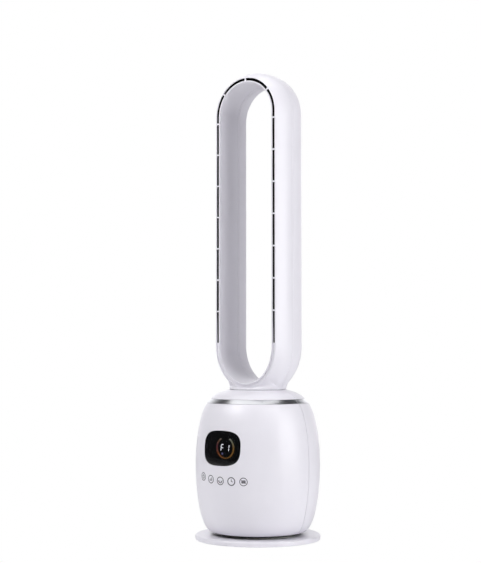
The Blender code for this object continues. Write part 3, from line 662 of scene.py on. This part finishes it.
def seam_columns(steps, radius):
    """Angles from one parting edge to the other with their insets: a small round at each edge."""
    r = sizes().seam_round
    edge = [(0.0, r), (0.25 * r, 0.45 * r), (0.6 * r, 0.12 * r), (1.1 * r, 0.0)]
    start = [(asin((SEAM + SEAM_RELIEF + d) / radius), inset) for d, inset in edge]
    end = [(pi - a, inset) for a, inset in reversed(start)]
    first, last = start[-1][0], end[0][0]
    middle = [(first + (last - first) * k / steps, 0.0) for k in range(1, steps)]
    return start + middle + end


def turned(section, a):
    """Section of a turned piece, as (radius, height) pairs, placed at an angle."""
    return [(r * cos(a), r * sin(a), z) for r, z in section]


def half_shell(outline_of, front, steps, radius):
    """Half of a turned shell between the parting edges."""
    rows = []
    for angle, inset in seam_columns(steps, radius):
        a = angle + (pi if front else 0.0)
        rows.append(turned(outline_of(inset), a))
    return grid_solid(rows)


def slot_block():
    """Two rows of upright intake slots with round ends."""
    bm = bmesh.new()
    for middle, half_h in SLOT_ROWS:
        end = arc(SLOT_HALF_W, 0, 180, 8, (0.0, half_h - SLOT_HALF_W))
        outline = end + [(-x, -z) for x, z in end]
        for k in range(-SLOTS_EACH_SIDE, SLOTS_EACH_SIDE + 1):
            start = len(bm.verts)
            prism(outline, -126.0, -100.0, bm)
            bm.verts.ensure_lookup_table()
            fresh = bm.verts[start:]
            stand_up(bm, middle, fresh)
            turn = Matrix.Rotation(SLOT_STEP * k, 3, "Z")
            bmesh.ops.rotate(bm, verts=fresh, cent=(0, 0, 0), matrix=turn)
    return bm


def face_point(x, z, lift=0.0):
    """Point on the front of the barrel at that x and height, lifted off the wall."""
    r = wall_radius(z) + lift
    return Vector((x, -sqrt(max(0.0, r * r - x * x)), z))


class LOOPFAN_OT_barrel(bpy.types.Operator):
    """Front and rear barrel shells with the display window and the intake slots"""

    bl_idname = "loop_fan.barrel"
    bl_label = "Barrel shells"

    def execute(self, context):
        front = to_piece("barrel_front", half_shell(shell_outline, True, 96, 105.0), "white_abs",
                         ["front_shell"])
        window = prism(squircle(LENS_HALF_W + GAP, LENS_HALF_H + GAP, 96), 80.0, 140.0)
        cut(front, stand_up(window, LENS_Z), "window_cut")
        rear = to_piece("barrel_rear", half_shell(shell_outline, False, 96, 105.0), "white_abs",
                        ["rear_shell"])
        cut(rear, slot_block(), "slot_cut")
        return {"FINISHED"}


class LOOPFAN_OT_trim(bpy.types.Operator):
    """Two plated halves of the ring round the top of the barrel"""

    bl_idname = "loop_fan.trim"
    bl_label = "Trim ring"

    def execute(self, context):
        for name, node, front in (("ring_front", "trim_ring_front", True),
                                  ("ring_rear", "trim_ring_rear", False)):
            to_piece(name, half_shell(ring_outline, front, 96, 94.0), "chromed_abs", [node])
        return {"FINISHED"}


# ---------------------------------------------------------------- loop

def place_on_ring(width, where):
    """The x and z of a station, at a half width of the loop; a station is a stretch and a place in it."""
    kind, value = where
    if kind == "arch":
        return width * sin(value), ARCH_Z + width * cos(value)
    if kind == "bend":
        return width * cos(value), BEND_Z - (width + BEND_DROP) * sin(value)
    side = 1.0 if kind == "right" else -1.0
    return side * width, value


def outward(where):
    """Direction away from the opening at a station, as x and z."""
    kind, value = where
    if kind == "arch":
        return sin(value), cos(value)
    if kind == "bend":
        x, z = cos(value), -sin(value) * 0.92
        size = hypot(x, z)
        return x / size, z / size
    return (1.0, 0.0) if kind == "right" else (-1.0, 0.0)


def edge_point(where, sign):
    """Outer boundary of a loop moulding and the direction in which its skin leaves it."""
    kind, value = where
    if kind != "bend":
        x, z = place_on_ring(LOOP_W, where)
        return Vector((x, sign * SEAM, z)), Vector((0, sign, 0))
    share = value / (pi / 2)
    side = 1.0 if share <= 1.0 else -1.0
    share = share if share <= 1.0 else 2.0 - share
    if share <= NECK_CORNER:
        q = share / NECK_CORNER
        curve = ((LOOP_W, BEND_Z), (LOOP_W, 321.0), (57.0, 305.0), (NECK_R, FOOT_Z))
        x, z = bezier(*curve, q)
        back = bezier(*curve, q - 0.01)
        up = Vector((side * (back[0] - x), 0, back[1] - z)).normalized()
        turn = FOOT_TURN * q ** 2
        direction = Vector((0, sign, 0)) * cos(turn) + up * sin(turn)
        return Vector((side * x, sign * SEAM, z)), direction
    a = (share - NECK_CORNER) / (1.0 - NECK_CORNER) * pi / 2
    point = Vector((side * NECK_R * cos(a), sign * (NECK_R * sin(a) + SEAM), FOOT_Z))
    tilt = FOOT_TURN + (pi / 2 - FOOT_TURN) * sin(a)
    along = Vector((-side * sin(a), sign * cos(a), 0))
    radial = Vector((side * cos(a), sign * sin(a), 0))
    up = (Vector((0, 0, 1)) + radial * FOOT_FLARE * cos(a)).normalized()
    return point, (along * cos(tilt) + up * sin(tilt)).normalized()


def skirt(where, sign, width, depth, lean):
    """Outer skin from the seam or foot to the front lip or the back nose."""
    start, leave = edge_point(where, sign)
    x, z = place_on_ring(width, where)
    end = Vector((x, depth, z))
    nx, nz = outward(where)
    arrive = Vector((nx * lean[0], lean[1], nz * lean[0])).normalized()
    pull = SKIRT_PULL
    if where[0] == "bend":
        share = sin(where[1]) ** 1.5
        arrive = (arrive * (1 - share) + (start - end).normalized() * share).normalized()
        pull += BEND_PULL * share
    reach = (end - start).length * pull
    p1 = start + leave * reach
    p2 = end + arrive * reach
    return [Vector(bezier(start, p1, p2, end, k / SKIN_STEPS)) for k in range(SKIN_STEPS + 1)]


def offset_skin(grid, depth, sign):
    """Inner skin of a skirt grid: each point moved along the surface normal."""
    count = len(grid)
    nodes = len(grid[0])
    inner = []
    for s in range(count):
        row = []
        for i in range(nodes):
            along = grid[(s + 1) % count][i] - grid[s - 1][i]
            across = grid[s][min(i + 1, nodes - 1)] - grid[s][max(i - 1, 0)]
            normal = along.cross(across).normalized() * sign
            point = grid[s][i] - normal * depth
            point.z = max(point.z, FOOT_Z + 0.05 * i)
            if i == 0:
                flat = Vector((normal.x, 0, normal.z))
                if grid[s][0].z < FOOT_Z + 0.01:
                    flat = Vector((grid[s][0].x, grid[s][0].y, 0))
                point = grid[s][0] - flat.normalized() * depth
            row.append(point)
        inner.append(row)
    return inner


def ring_places():
    """Stations round the loop, from the bottom centre up the right side and down the left."""
    half = [("bend", pi / 2 * k / BEND_STATIONS) for k in range(BEND_STATIONS, -1, -1)]
    half.append(("right", SLIT_END))
    for k in range(RIBS_PER_SIDE - 1, -1, -1):
        z = RIB_FIRST - RIB_PITCH * k
        half += [("right", z - RIB_W / 2), ("right", z + RIB_W / 2)]
    edge = ARCH_RIB_SPAN / 2
    outer_count, inner_count = ARCH_STATIONS
    for k in range(outer_count + 1):
        half.append(("arch", pi / 2 + (ARCH_RIB + edge - pi / 2) * k / outer_count))
    for k in range(inner_count):
        half.append(("arch", ARCH_RIB - edge + (3 * edge - ARCH_RIB) * k / inner_count))
    half.append(("arch", edge))
    middle = ("bend", pi / 2)
    return half + [mirrored(p) for p in reversed(half) if p != middle]


def mirrored(where):
    """The same station on the left side."""
    kind, value = where
    if kind == "bend":
        return kind, pi - value
    return ("left", value) if kind == "right" else (kind, -value)


def is_rib(a, b):
    """Whether the span between two stations is one of the bridging ribs."""
    (kind_a, va), (kind_b, vb) = a, b
    if kind_a != kind_b or kind_a == "bend":
        return False
    rib = ARCH_RIB_SPAN if kind_a == "arch" else RIB_W
    return abs(abs(va - vb) - rib) < 1e-6


def in_slit(a, b):
    """Whether the span between two stations is open slit."""
    low = min(SLIT_END if kind == "arch" else (0 if kind == "bend" else z) for kind, z in (a, b))
    return low >= SLIT_END - 1e-6 and not is_rib(a, b)


def section_points(where, table):
    """Points of a section at a station, from (half width, depth) pairs."""
    return [Vector((x, y, z)) for (x, z), y in ((place_on_ring(w, where), y) for w, y in table)]


def strip_solid(outer, inner, keep):
    """Close a wall that runs round in a ring, given as two grids of points [station][node].

    The faces of the inner grid take the second material, the black of the painted shade inside the loop.
    """
    bm = bmesh.new()
    count = len(outer)
    nodes = len(outer[0])
    a, b = [[[bm.verts.new(p) for p in row] for row in grid] for grid in (outer, inner)]

    def solid(s, i):
        return 0 <= i < nodes - 1 and keep(s % count, i)

    for s in range(count):
        n = (s + 1) % count
        for i in range(nodes - 1):
            if not solid(s, i):
                continue
            bm.faces.new((a[s][i], a[n][i], a[n][i + 1], a[s][i + 1]))
            # inner faces: painted shade, matt black in place of the shade inside the hollow loop
            bm.faces.new((b[s][i + 1], b[n][i + 1], b[n][i], b[s][i])).material_index = 1
            if not solid(s, i - 1):
                bm.faces.new((a[n][i], a[s][i], b[s][i], b[n][i]))
            if not solid(s, i + 1):
                bm.faces.new((a[s][i + 1], a[n][i + 1], b[n][i + 1], b[s][i + 1]))
            if not solid(s - 1, i):
                bm.faces.new((a[s][i], a[s][i + 1], b[s][i + 1], b[s][i]))
            if not solid(s + 1, i):
                bm.faces.new((a[n][i + 1], a[n][i], b[n][i], b[n][i + 1]))
    loose = [v for v in bm.verts if not v.link_faces]
    bmesh.ops.delete(bm, geom=loose, context="VERTS")
    return bm


def soften_seam(row, seam_round):
    """Round the seam edge of a skin row: its first point becomes three that curve inwards."""
    start = row[0]
    ahead = (row[1] - row[0]).normalized()
    out = Vector((start.x, 0, start.z - min(max(start.z, BEND_Z), ARCH_Z))).normalized()
    shape = [(0.0, 0.7), (0.3, 0.28), (0.8, 0.0)]
    return [start + ahead * (d * seam_round) - out * (drop * seam_round) for d, drop in shape] + row[1:]


def loop_front():
    """Front moulding: outer skin, both lips of the slit, ribs and inner wall."""
    places = ring_places()
    outer = [skirt(p, -1, 71.6, LOOP_FRONT + 0.35, (0.5, 0.86)) for p in places]
    inner = offset_skin(outer, SKIN, 1)
    joint = INNER_SEAM - SEAM - 2 * SEAM_RELIEF
    wall = [(61.9, -34.0), (61.4, -25.0), (60.9, -12.0), (60.5, 0.0), (60.15, 12.0), (60.0, joint - 0.65)]
    for k, p in enumerate(places):
        closed = p[0] == "bend" or (p[0] in ("right", "left") and p[1] <= SLIT_END)
        floor = LOOP_FRONT + (1.6 if closed else 0.25)
        lip_back = LOOP_FRONT + (3.8 if closed else 1.3)
        root = LOOP_FRONT + (3.8 if closed else 2.6)
        face = [(71.35, LOOP_FRONT + 0.1), (71.0, LOOP_FRONT), (SLIT_OUT + 0.35, LOOP_FRONT),
                (SLIT_OUT + 0.08, LOOP_FRONT + 0.1), (SLIT_OUT, LOOP_FRONT + 0.35),
                (SLIT_OUT - 0.2, floor), (SLIT_IN + 0.2, floor),
                (SLIT_IN, LOOP_FRONT + 0.35), (SLIT_IN - 0.08, LOOP_FRONT + 0.1),
                (SLIT_IN - 0.35, LOOP_FRONT), (62.6, LOOP_FRONT), (62.3, LOOP_FRONT + 0.1),
                (62.15, LOOP_FRONT + 0.4), *wall, (60.15, joint - 0.15), (60.5, joint)]
        back = [(70.2, root), (70.1, root - 0.2), (70.0, root - 0.4), (69.9, root - 0.6),
                (SLIT_OUT, lip_back), (SLIT_OUT - 0.2, lip_back), (SLIT_IN + 0.2, lip_back),
                (SLIT_IN, lip_back), (64.4, root - 0.6), (64.3, root - 0.4), (64.2, root - 0.2),
                (64.1, root), (64.0, root + 0.6), *[(x + SKIN, y) for x, y in wall],
                (62.0, joint - 0.35), (62.0, joint)]
        inner[k][-1] = section_points(p, [(70.4, root + 0.2)])[0]
        outer[k] += section_points(p, face)
        inner[k] += section_points(p, back)
    first = SKIN_STEPS + 5 + EXTRA_SEAM_POINTS
    slit_cells = range(first, first + 3)
    count = len(places)

    def keep(s, i):
        return i not in slit_cells or not in_slit(places[s], places[(s + 1) % count])

    return strip_solid(round_seam_edge(outer), pad_rows(inner), keep)


def round_seam_edge(grid):
    """Outer skin with every row rounded at the seam."""
    return [soften_seam(row, sizes().seam_round) for row in grid]


def pad_rows(grid):
    """Inner skin rows padded by the two extra points of a rounded seam edge."""
    padded = []
    for row in grid:
        step = (row[1] - row[0]) * 0.1
        padded.append([row[0], row[0] + step, row[0] + step * 2] + row[1:])
    return padded


def loop_rear():
    """Rear moulding: outer skin over the rounded back nose to the inner seam."""
    places = ring_places()
    outer = [skirt(p, 1, 65.0, LOOP_BACK, (0.93, -0.3)) for p in places]
    inner = offset_skin(outer, SKIN, -1)
    for k, p in enumerate(places):
        face = [(64.2, 47.7), (63.4, 46.8), (62.7, 45.2), (62.1, 42.0), (61.4, 37.0), (60.8, 31.0),
                (60.3, 25.0), (60.05, 20.0), (60.1, 18.6), (60.5, INNER_SEAM + SEAM)]
        back = [(66.3, 45.2), (66.0, 44.8), (65.4, 43.8), (64.3, 41.2), (63.4, 36.8), (62.8, 31.0),
                (62.3, 25.0), (62.05, 20.0), (62.0, 18.6), (62.0, INNER_SEAM + SEAM)]
        inner[k][-1] = section_points(p, [(66.6, LOOP_BACK - 2.4)])[0]
        outer[k] += section_points(p, face)
        inner[k] += section_points(p, back)
    return strip_solid(round_seam_edge(outer), pad_rows(inner), lambda s, i: True)


class LOOPFAN_OT_loop(bpy.types.Operator):
    """Front and rear mouldings of the hollow air loop"""

    bl_idname = "loop_fan.loop"
    bl_label = "Air loop"

    def execute(self, context):
        # painted shade: matt black for the inner faces, so the slit reads as dark
        inside = painted_slit_shade()
        for side, mesh in (("front", loop_front()), ("rear", loop_rear())):
            nodes = [f"loop_{side}_{part}" for part in LOOP_PARTS]
            piece = to_piece(f"loop_{side}", mesh, "white_abs", nodes, angle=40)
            piece.data.materials.append(inside)
        return {"FINISHED"}


# ---------------------------------------------------------------- base disc

def disc_outline():
    """Section of the disc cover: flat top, full round rim, thin skirt."""
    low, top = DISC_LOW.z, DISC_HIGH.z
    upper = arc(DISC_RIM, 0, 90, 8, (DISC_R - DISC_RIM, top - DISC_RIM))
    lower = arc(DISC_EDGE, 0, -90, 5, (DISC_R - DISC_EDGE, low + DISC_EDGE))
    inside = DISC_R - 2.8
    return ([(DISC_HUB, top - DISC_WALL), (inside, top - DISC_WALL), (inside, low)] + lower[::-1]
            + upper + [(100.0, top), (60.0, top), (DISC_HUB, top)])


class LOOPFAN_OT_base(bpy.types.Operator):
    """Foot disc with its pan, feet, ballast and cord gland"""

    bl_idname = "loop_fan.base"
    bl_label = "Base disc"

    def execute(self, context):
        section = disc_outline()
        count = 160
        rows = [turned(section, 2 * pi * k / count) for k in range(count)]
        disc = to_piece("foot_disc", grid_solid(rows, True), "white_abs", ["base_cover"], body="base")
        notch = prism(GLAND_NOTCH, -1.0, GLAND_HIGH.z + 0.4)
        cut(disc, notch, "gland_notch")
        dress("base_pan", "ballast_plate", "cord_gland", "spindle", "sun_gear", "spindle_nut", "glide_ring",
              *[f"foot_{k}" for k in range(1, 6)])
        return {"FINISHED"}


# ---------------------------------------------------------------- display

def lens_mesh():
    """Curved window: a dense disc that follows the wall, with a polished rounded edge."""
    count, rings = 96, 14
    edge = sizes().lens_edge
    scale_edge = 1.0 - edge / LENS_HALF_H
    profile = [(scale_edge * k / rings, 0.0) for k in range(1, rings + 1)]
    profile += [(1.0 - edge / LENS_HALF_H * (1 - sin(a)), -edge * 0.6 * (1 - cos(a)))
                for a in (pi / 2 * k / 5 for k in range(1, 6))]
    profile += [(1.0, -LENS_THICK)] + [(k / 4, -LENS_THICK) for k in (3, 2, 1)]
    bm = bmesh.new()
    outline = squircle(LENS_HALF_W, LENS_HALF_H, count)
    rows = sleeve(bm, [[face_point(x * share, LENS_Z + z * share, lift) for x, z in outline]
                       for share, lift in profile])
    for ring, lift in ((rows[0], 0.0), (rows[-1], -LENS_THICK)):
        hub = bm.verts.new(face_point(0.0, LENS_Z, lift))
        for k in range(count):
            bm.faces.new((ring[k - 1], ring[k], hub))
    return bm


def glow_rows():
    """Sections of the lit band round the middle of the light guide."""
    middle = (GUIDE_LOW.x + GUIDE_HIGH.x) / 2
    outer = GUIDE_HIGH.x - GLOW_OUTSET
    inner = outer - GLOW_BAND
    front, back = GUIDE_LOW.y, GUIDE_HIGH.y
    section = [(inner, front + 0.4), (inner + 0.5, front), (outer - 0.5, front), (outer, front + 0.4),
               (outer, back), (inner, back)]
    rows = []
    for k in range(97):
        a = GLOW_START + GLOW_SPAN * k / 96
        rows.append([(middle + r * cos(a), y, LENS_Z + r * sin(a)) for r, y in section])
    return rows


def segment(centre, length, upright, depth):
    """One hexagonal bar of a seven-segment digit."""
    half, w = length / 2, DIGIT_BAR / 2
    outline = [(-half, 0), (-half + w, w), (half - w, w), (half, 0), (half - w, -w), (-half + w, -w)]
    if upright:
        outline = [(y, x) for x, y in outline]
    placed = [(centre[0] + x + DIGIT_SLANT * (centre[1] + y), centre[1] + y) for x, y in outline]
    return grid_solid([[(x, y_at, LENS_Z + z) for x, z in placed] for y_at in depth])


def digit_bars(lit, left):
    """Bars of one digit; lit names its segments, a at the top and on clockwise, g in the middle."""
    h = sizes().digit_height / 2
    right, mid = left + DIGIT_W, left + DIGIT_W / 2
    spots = {"a": (mid, h, False), "b": (right, h / 2, True), "c": (right, -h / 2, True),
             "d": (mid, -h, False), "e": (left, -h / 2, True), "f": (left, h / 2, True),
             "g": (mid, 0, False)}
    for key in lit:
        x, z, upright = spots[key]
        yield (x, z), (h if upright else DIGIT_W) - 0.7, upright


class LOOPFAN_OT_display(bpy.types.Operator):
    """Smoked window, lit ring, digits and indicator dot"""

    bl_idname = "loop_fan.display"
    bl_label = "Display"

    def execute(self, context):
        to_piece("window_lens", lens_mesh(), "smoked_acrylic", ["display_lens"], angle=60)
        to_piece("glow_ring", grid_solid(glow_rows()), "light_guide", ["light_ring"])
        dress("digit_block", "display_frame", "display_board")
        block = frame["nodes"]["digit_block"]
        block.data.materials[0] = finish_of("black_abs")
        depth = (DIGIT_LOW.y - 0.45, DIGIT_LOW.y - 0.1)
        white = lit_segment("epoxy_lit_white", colours().digits, 26.0)
        for name, lit, left in DIGITS:
            for k, (centre, length, upright) in enumerate(digit_bars(lit, left)):
                bar = segment(centre, length, upright, depth)
                to_piece(f"digit_{name}_{k + 1}", bar, "light_guide", look=white)
        dot = prism(arc(DOT_R, 0, 360, 24, DOT_AT)[:-1], -depth[1], -depth[0])
        violet = lit_segment("epoxy_lit_violet", "A29EE6", 6.0)
        to_piece("indicator_dot", stand_up(dot, LENS_Z), "light_guide", look=violet)
        return {"FINISHED"}


# ---------------------------------------------------------------- printed keys

def key_strokes():
    """Strokes of the five keys, left to right: power, speed, swing, timer and breeze."""
    wave = [[(-3.8 + 0.475 * k, y + 0.7 * sin(0.475 * k * 1.65)) for k in range(17)]
            for y in (2.0, 0.0, -2.0)]
    return [
        [arc(3.3, 125, 290, 28), [(0.0, 0.6), (0.0, 4.3)]],
        [[(-2.7, -2.8), (-2.7, -0.6)], [(0.0, -2.8), (0.0, 1.2)], [(2.7, -2.8), (2.7, 3.2)]],
        [arc(3.6, 200, 140, 18), [(-4.6, 0.6), (-3.4, -1.3), (-1.7, -0.2)],
         [(4.6, 0.6), (3.4, -1.3), (1.7, -0.2)]],
        [[(0.0, 3.6), (0.0, 0.0), (2.6, -0.6)]],
        wave,
    ]


def ribbon(bm, line, width, turn, rise):
    """A printed line laid on the barrel: s is the way round from the key's middle, z its height."""
    middle = KEY_Z + rise
    height = sizes().ink_height
    closed = (Vector(line[0]) - Vector(line[-1])).length < 1e-6
    points = [Vector(p) for p in (line[:-1] if closed else line)]
    count = len(points)
    rings = []
    for k, point in enumerate(points):
        before = points[k - 1] if closed or k > 0 else point
        after = points[(k + 1) % count] if closed or k < count - 1 else point
        way = (after - before).normalized()
        side = Vector((-way.y, way.x)) * width / 2
        cap = Vector((0, 0))
        if not closed and k in (0, count - 1):
            cap = way * width * (-0.3 if k == 0 else 0.3)
        ring = []
        for offset, lift in ((side, 0.0), (side, height), (-side, height), (-side, 0.0)):
            s, z = point + offset + cap
            r = wall_radius(middle + z) + lift + 0.01
            a = FRONT_ANGLE + turn + s / wall_radius(middle)
            ring.append((r * cos(a), r * sin(a), middle + z))
        rings.append(ring)
    grid_solid(rings, closed, bm)


class LOOPFAN_OT_keys(bpy.types.Operator):
    """Five printed touch keys, with the springs and board behind them"""

    bl_idname = "loop_fan.keys"
    bl_label = "Touch keys"

    def execute(self, context):
        ink = key_ink()
        names = ("power", "speed", "swing", "timer", "breeze")
        for k, (name, strokes) in enumerate(zip(names, key_strokes())):
            bm = bmesh.new()
            turn = KEY_TURN + (k - 2) * KEY_STEP
            ring_line = sizes().key_line * (KEY_BOLD if name == "timer" else 1.0)
            ribbon(bm, arc(sizes().key_radius, 0, 360, 64), ring_line, turn, KEY_RISE[k])
            for line in strokes:
                ribbon(bm, line, sizes().key_line, turn, KEY_RISE[k])
            to_piece(f"key_{name}", bm, "black_abs", look=ink)
        dress("touch_board", *[f"touch_spring_{k}" for k in range(1, 6)])
        return {"FINISHED"}


# ---------------------------------------------------------------- inner groups

class LOOPFAN_OT_drive(bpy.types.Operator):
    """Turntable, chassis, swing motor and gears"""

    bl_idname = "loop_fan.drive"
    bl_label = "Swing drive"

    def execute(self, context):
        dress("turntable", "pivot_bush", "chassis", "isolator_ring", "motor_bracket", "swing_motor",
              "pinion")
        return {"FINISHED"}


class LOOPFAN_OT_blower(bpy.types.Operator):
    """Blower housing, diffuser, motor, impeller and neck parts"""

    bl_idname = "loop_fan.blower"
    bl_label = "Blower"

    def execute(self, context):
        dress("blower_inlet", "blower_outlet", "diffuser", "motor_mount", "stator", "bearing_lower",
              "bearing_upper", "driver_board", "impeller", "motor_shaft", "rotor_cup", "neck_ring",
              "neck_collar", "neck_gasket", "dust_screen", "main_board", "power_module")
        return {"FINISHED"}


# ---------------------------------------------------------------- stage

CAMERA_DISTANCE = 2.58912
CAMERA_HEIGHT = 0.36467
CAMERA_AZIMUTH = radians(36.73)
CAMERA_PITCH = radians(2.91)
CAMERA_YAW = -0.0129
CAMERA_LENS = 85.4
CAMERA_FAR = 50.0
WHITE = (1.0, 1.0, 1.0, 1.0)
ROOM_TINT = (0.98, 0.98, 1.0, 1.0)
AMBIENT = 0.07
BACKDROP = 1.4
BACKDROP_EDGE = (0.62, 0.95)  # cosines of the angles where the lit backdrop fades out and is full
FLOOR_R = 6.0
FLOOR_GLOW = 0.02
STUDIO_MIDDLE = Vector((0, 0, 0.45))
LAMP_DISTANCE = 2.4
# name, azimuth from the front towards the right, height angle, size and power in watts
LAMPS = (
    ("right_softbox", 95.0, 8.0, (1.5, 1.6), 31.0),
    ("left_softbox", -60.0, 8.0, (1.5, 1.6), 8.0),
    ("front_softbox", -20.0, 42.0, (1.5, 1.2), 37.0),
    ("side_softbox", 70.0, 42.0, (1.5, 1.2), 14.0),
    ("top_softbox", 0.0, 88.0, (0.7, 0.7), 12.5),
)
# large card that only shows in reflections, so the chrome has one long soft highlight
CHROME_CARD = ("chrome_card", -82.0, 80.0, (2.5, 2.5), 25.0)
# fill lamps that don't show in the plated ring or the display window
NOT_REFLECTED = ("top_softbox", "left_softbox")


def place_camera():
    """Camera at about the height of the loop's foot, in front and to the right."""
    data = bpy.data.cameras.new("view_camera")
    data.lens = CAMERA_LENS
    data.clip_end = CAMERA_FAR
    camera = into_scene("view_camera", data)
    az = CAMERA_AZIMUTH
    camera.location = (CAMERA_DISTANCE * sin(az), -CAMERA_DISTANCE * cos(az), CAMERA_HEIGHT)
    ahead = Vector((-sin(az), cos(az), 0))
    right = Vector((cos(az), sin(az), 0))
    flat = ahead * cos(CAMERA_YAW) + right * sin(CAMERA_YAW)
    aim = flat * cos(CAMERA_PITCH) + Vector((0, 0, sin(CAMERA_PITCH)))
    camera.rotation_euler = aim.to_track_quat("-Z", "Y").to_euler()
    bpy.context.scene.camera = camera


def softbox(name, azimuth, rise, size, power):
    """Area lamp aimed at the middle of the studio; it lights, but the camera doesn't see it."""
    a, e = radians(azimuth), radians(rise)
    way = Vector((sin(a) * cos(e), -cos(a) * cos(e), sin(e)))
    data = bpy.data.lights.new(name, "AREA")
    data.shape = "RECTANGLE"
    data.size, data.size_y = size
    data.energy = power
    lamp = into_scene(name, data)
    lamp.visible_camera = False
    lamp.visible_diffuse = name != CHROME_CARD[0]
    lamp.visible_glossy = name not in NOT_REFLECTED
    lamp.location = STUDIO_MIDDLE + way * LAMP_DISTANCE
    lamp.rotation_euler = (-way).to_track_quat("-Z", "Y").to_euler()


def white_to_camera(tree, kind, lit):
    """Plain white for the camera, and the lit shader for every other ray."""
    white = add(tree, kind, {"Color": WHITE, "Strength": 1.0})
    camera_ray = add(tree, "ShaderNodeLightPath").outputs["Is Camera Ray"]
    mix = add(tree, "ShaderNodeMixShader", {0: camera_ray, 1: lit.outputs[0], 2: white.outputs[0]})
    return mix.outputs[0]


def studio_world():
    """Dim studio with a lit backdrop behind the fan; the camera sees the backdrop as white."""
    world = bpy.data.worlds.new("studio")
    bpy.context.scene.world = world
    world.use_nodes = True
    tree = world.node_tree
    tree.nodes.clear()
    way = add(tree, "ShaderNodeTexCoord").outputs["Generated"]
    back = (-sin(CAMERA_AZIMUTH), cos(CAMERA_AZIMUTH), 0.0)
    facing = add(tree, "ShaderNodeVectorMath", {0: way, 1: back}, operation="DOT_PRODUCT")
    fade_from, fade_to = BACKDROP_EDGE
    glow = add(tree, "ShaderNodeMapRange", {"Value": facing.outputs["Value"], "From Min": fade_from,
                                            "From Max": fade_to, "To Min": AMBIENT, "To Max": BACKDROP})
    walls = add(tree, "ShaderNodeBackground", {"Color": ROOM_TINT, "Strength": glow.outputs["Result"]})
    seen = white_to_camera(tree, "ShaderNodeBackground", walls)
    add(tree, "ShaderNodeOutputWorld", {"Surface": seen})


def studio_floor():
    """Pale paper floor that runs on to the white backdrop."""
    bm = bmesh.new()
    bmesh.ops.create_circle(bm, cap_ends=True, segments=96, radius=FLOOR_R)
    floor = into_scene("studio_floor", mesh_of("studio_floor", bm))
    mat, tree, shader, place = surface("paper_backdrop", ior=1.45, Roughness=0.9)
    mottled(tree, shader, place, "F7F7F8", "F4F4F5", 200.0)
    shader.inputs["Emission Color"].default_value = WHITE
    shader.inputs["Emission Strength"].default_value = FLOOR_GLOW
    seen = white_to_camera(tree, "ShaderNodeEmission", shader)
    tree.links.new(seen, tree.nodes["Material Output"].inputs["Surface"])
    floor.data.materials.append(mat)


class LOOPFAN_OT_stage(bpy.types.Operator):
    """Pale floor, soft studio light and the camera"""

    bl_idname = "loop_fan.stage"
    bl_label = "Stage"

    def execute(self, context):
        studio_floor()
        studio_world()
        for lamp in (*LAMPS, CHROME_CARD):
            softbox(*lamp)
        place_camera()
        context.scene.view_settings.view_transform = "Standard"
        return {"FINISHED"}


# ---------------------------------------------------------------- panel and registration

class LOOPFAN_PT_panel(bpy.types.Panel):
    """Lists the fan's sizes, colours and pieces"""

    bl_label = "Loop fan"
    bl_idname = "LOOPFAN_PT_panel"
    bl_space_type = "VIEW_3D"
    bl_region_type = "UI"
    bl_category = "Loop fan"

    def draw(self, context):
        layout = self.layout
        for group in (context.scene.loop_fan_sizes, context.scene.loop_fan_colours):
            for key in group.__annotations__:
                layout.prop(group, key)
        for operator in OPERATORS:
            layout.operator(operator.bl_idname)


GROUPS = (LoopFanSizes, LoopFanColours)
OPERATORS = (LOOPFAN_OT_base, LOOPFAN_OT_drive, LOOPFAN_OT_barrel, LOOPFAN_OT_trim, LOOPFAN_OT_display,
             LOOPFAN_OT_keys, LOOPFAN_OT_blower, LOOPFAN_OT_loop, LOOPFAN_OT_stage)


def register():
    """Make the classes and the scene's settings known to Blender."""
    for group in (*GROUPS, *OPERATORS, LOOPFAN_PT_panel):
        bpy.utils.register_class(group)
    bpy.types.Scene.loop_fan_sizes = bpy.props.PointerProperty(type=LoopFanSizes)
    bpy.types.Scene.loop_fan_colours = bpy.props.PointerProperty(type=LoopFanColours)


def unregister():
    """Take them away again."""
    del bpy.types.Scene.loop_fan_colours
    del bpy.types.Scene.loop_fan_sizes
    for group in reversed((*GROUPS, *OPERATORS, LOOPFAN_PT_panel)):
        bpy.utils.unregister_class(group)


def main():
    """Build every group."""
    register()
    bpy.ops.loop_fan.base()
    bpy.ops.loop_fan.drive()
    bpy.ops.loop_fan.barrel()
    bpy.ops.loop_fan.trim()
    bpy.ops.loop_fan.display()
    bpy.ops.loop_fan.keys()
    bpy.ops.loop_fan.blower()
    bpy.ops.loop_fan.loop()
    bpy.ops.loop_fan.stage()


if __name__ == "__main__":
    main()
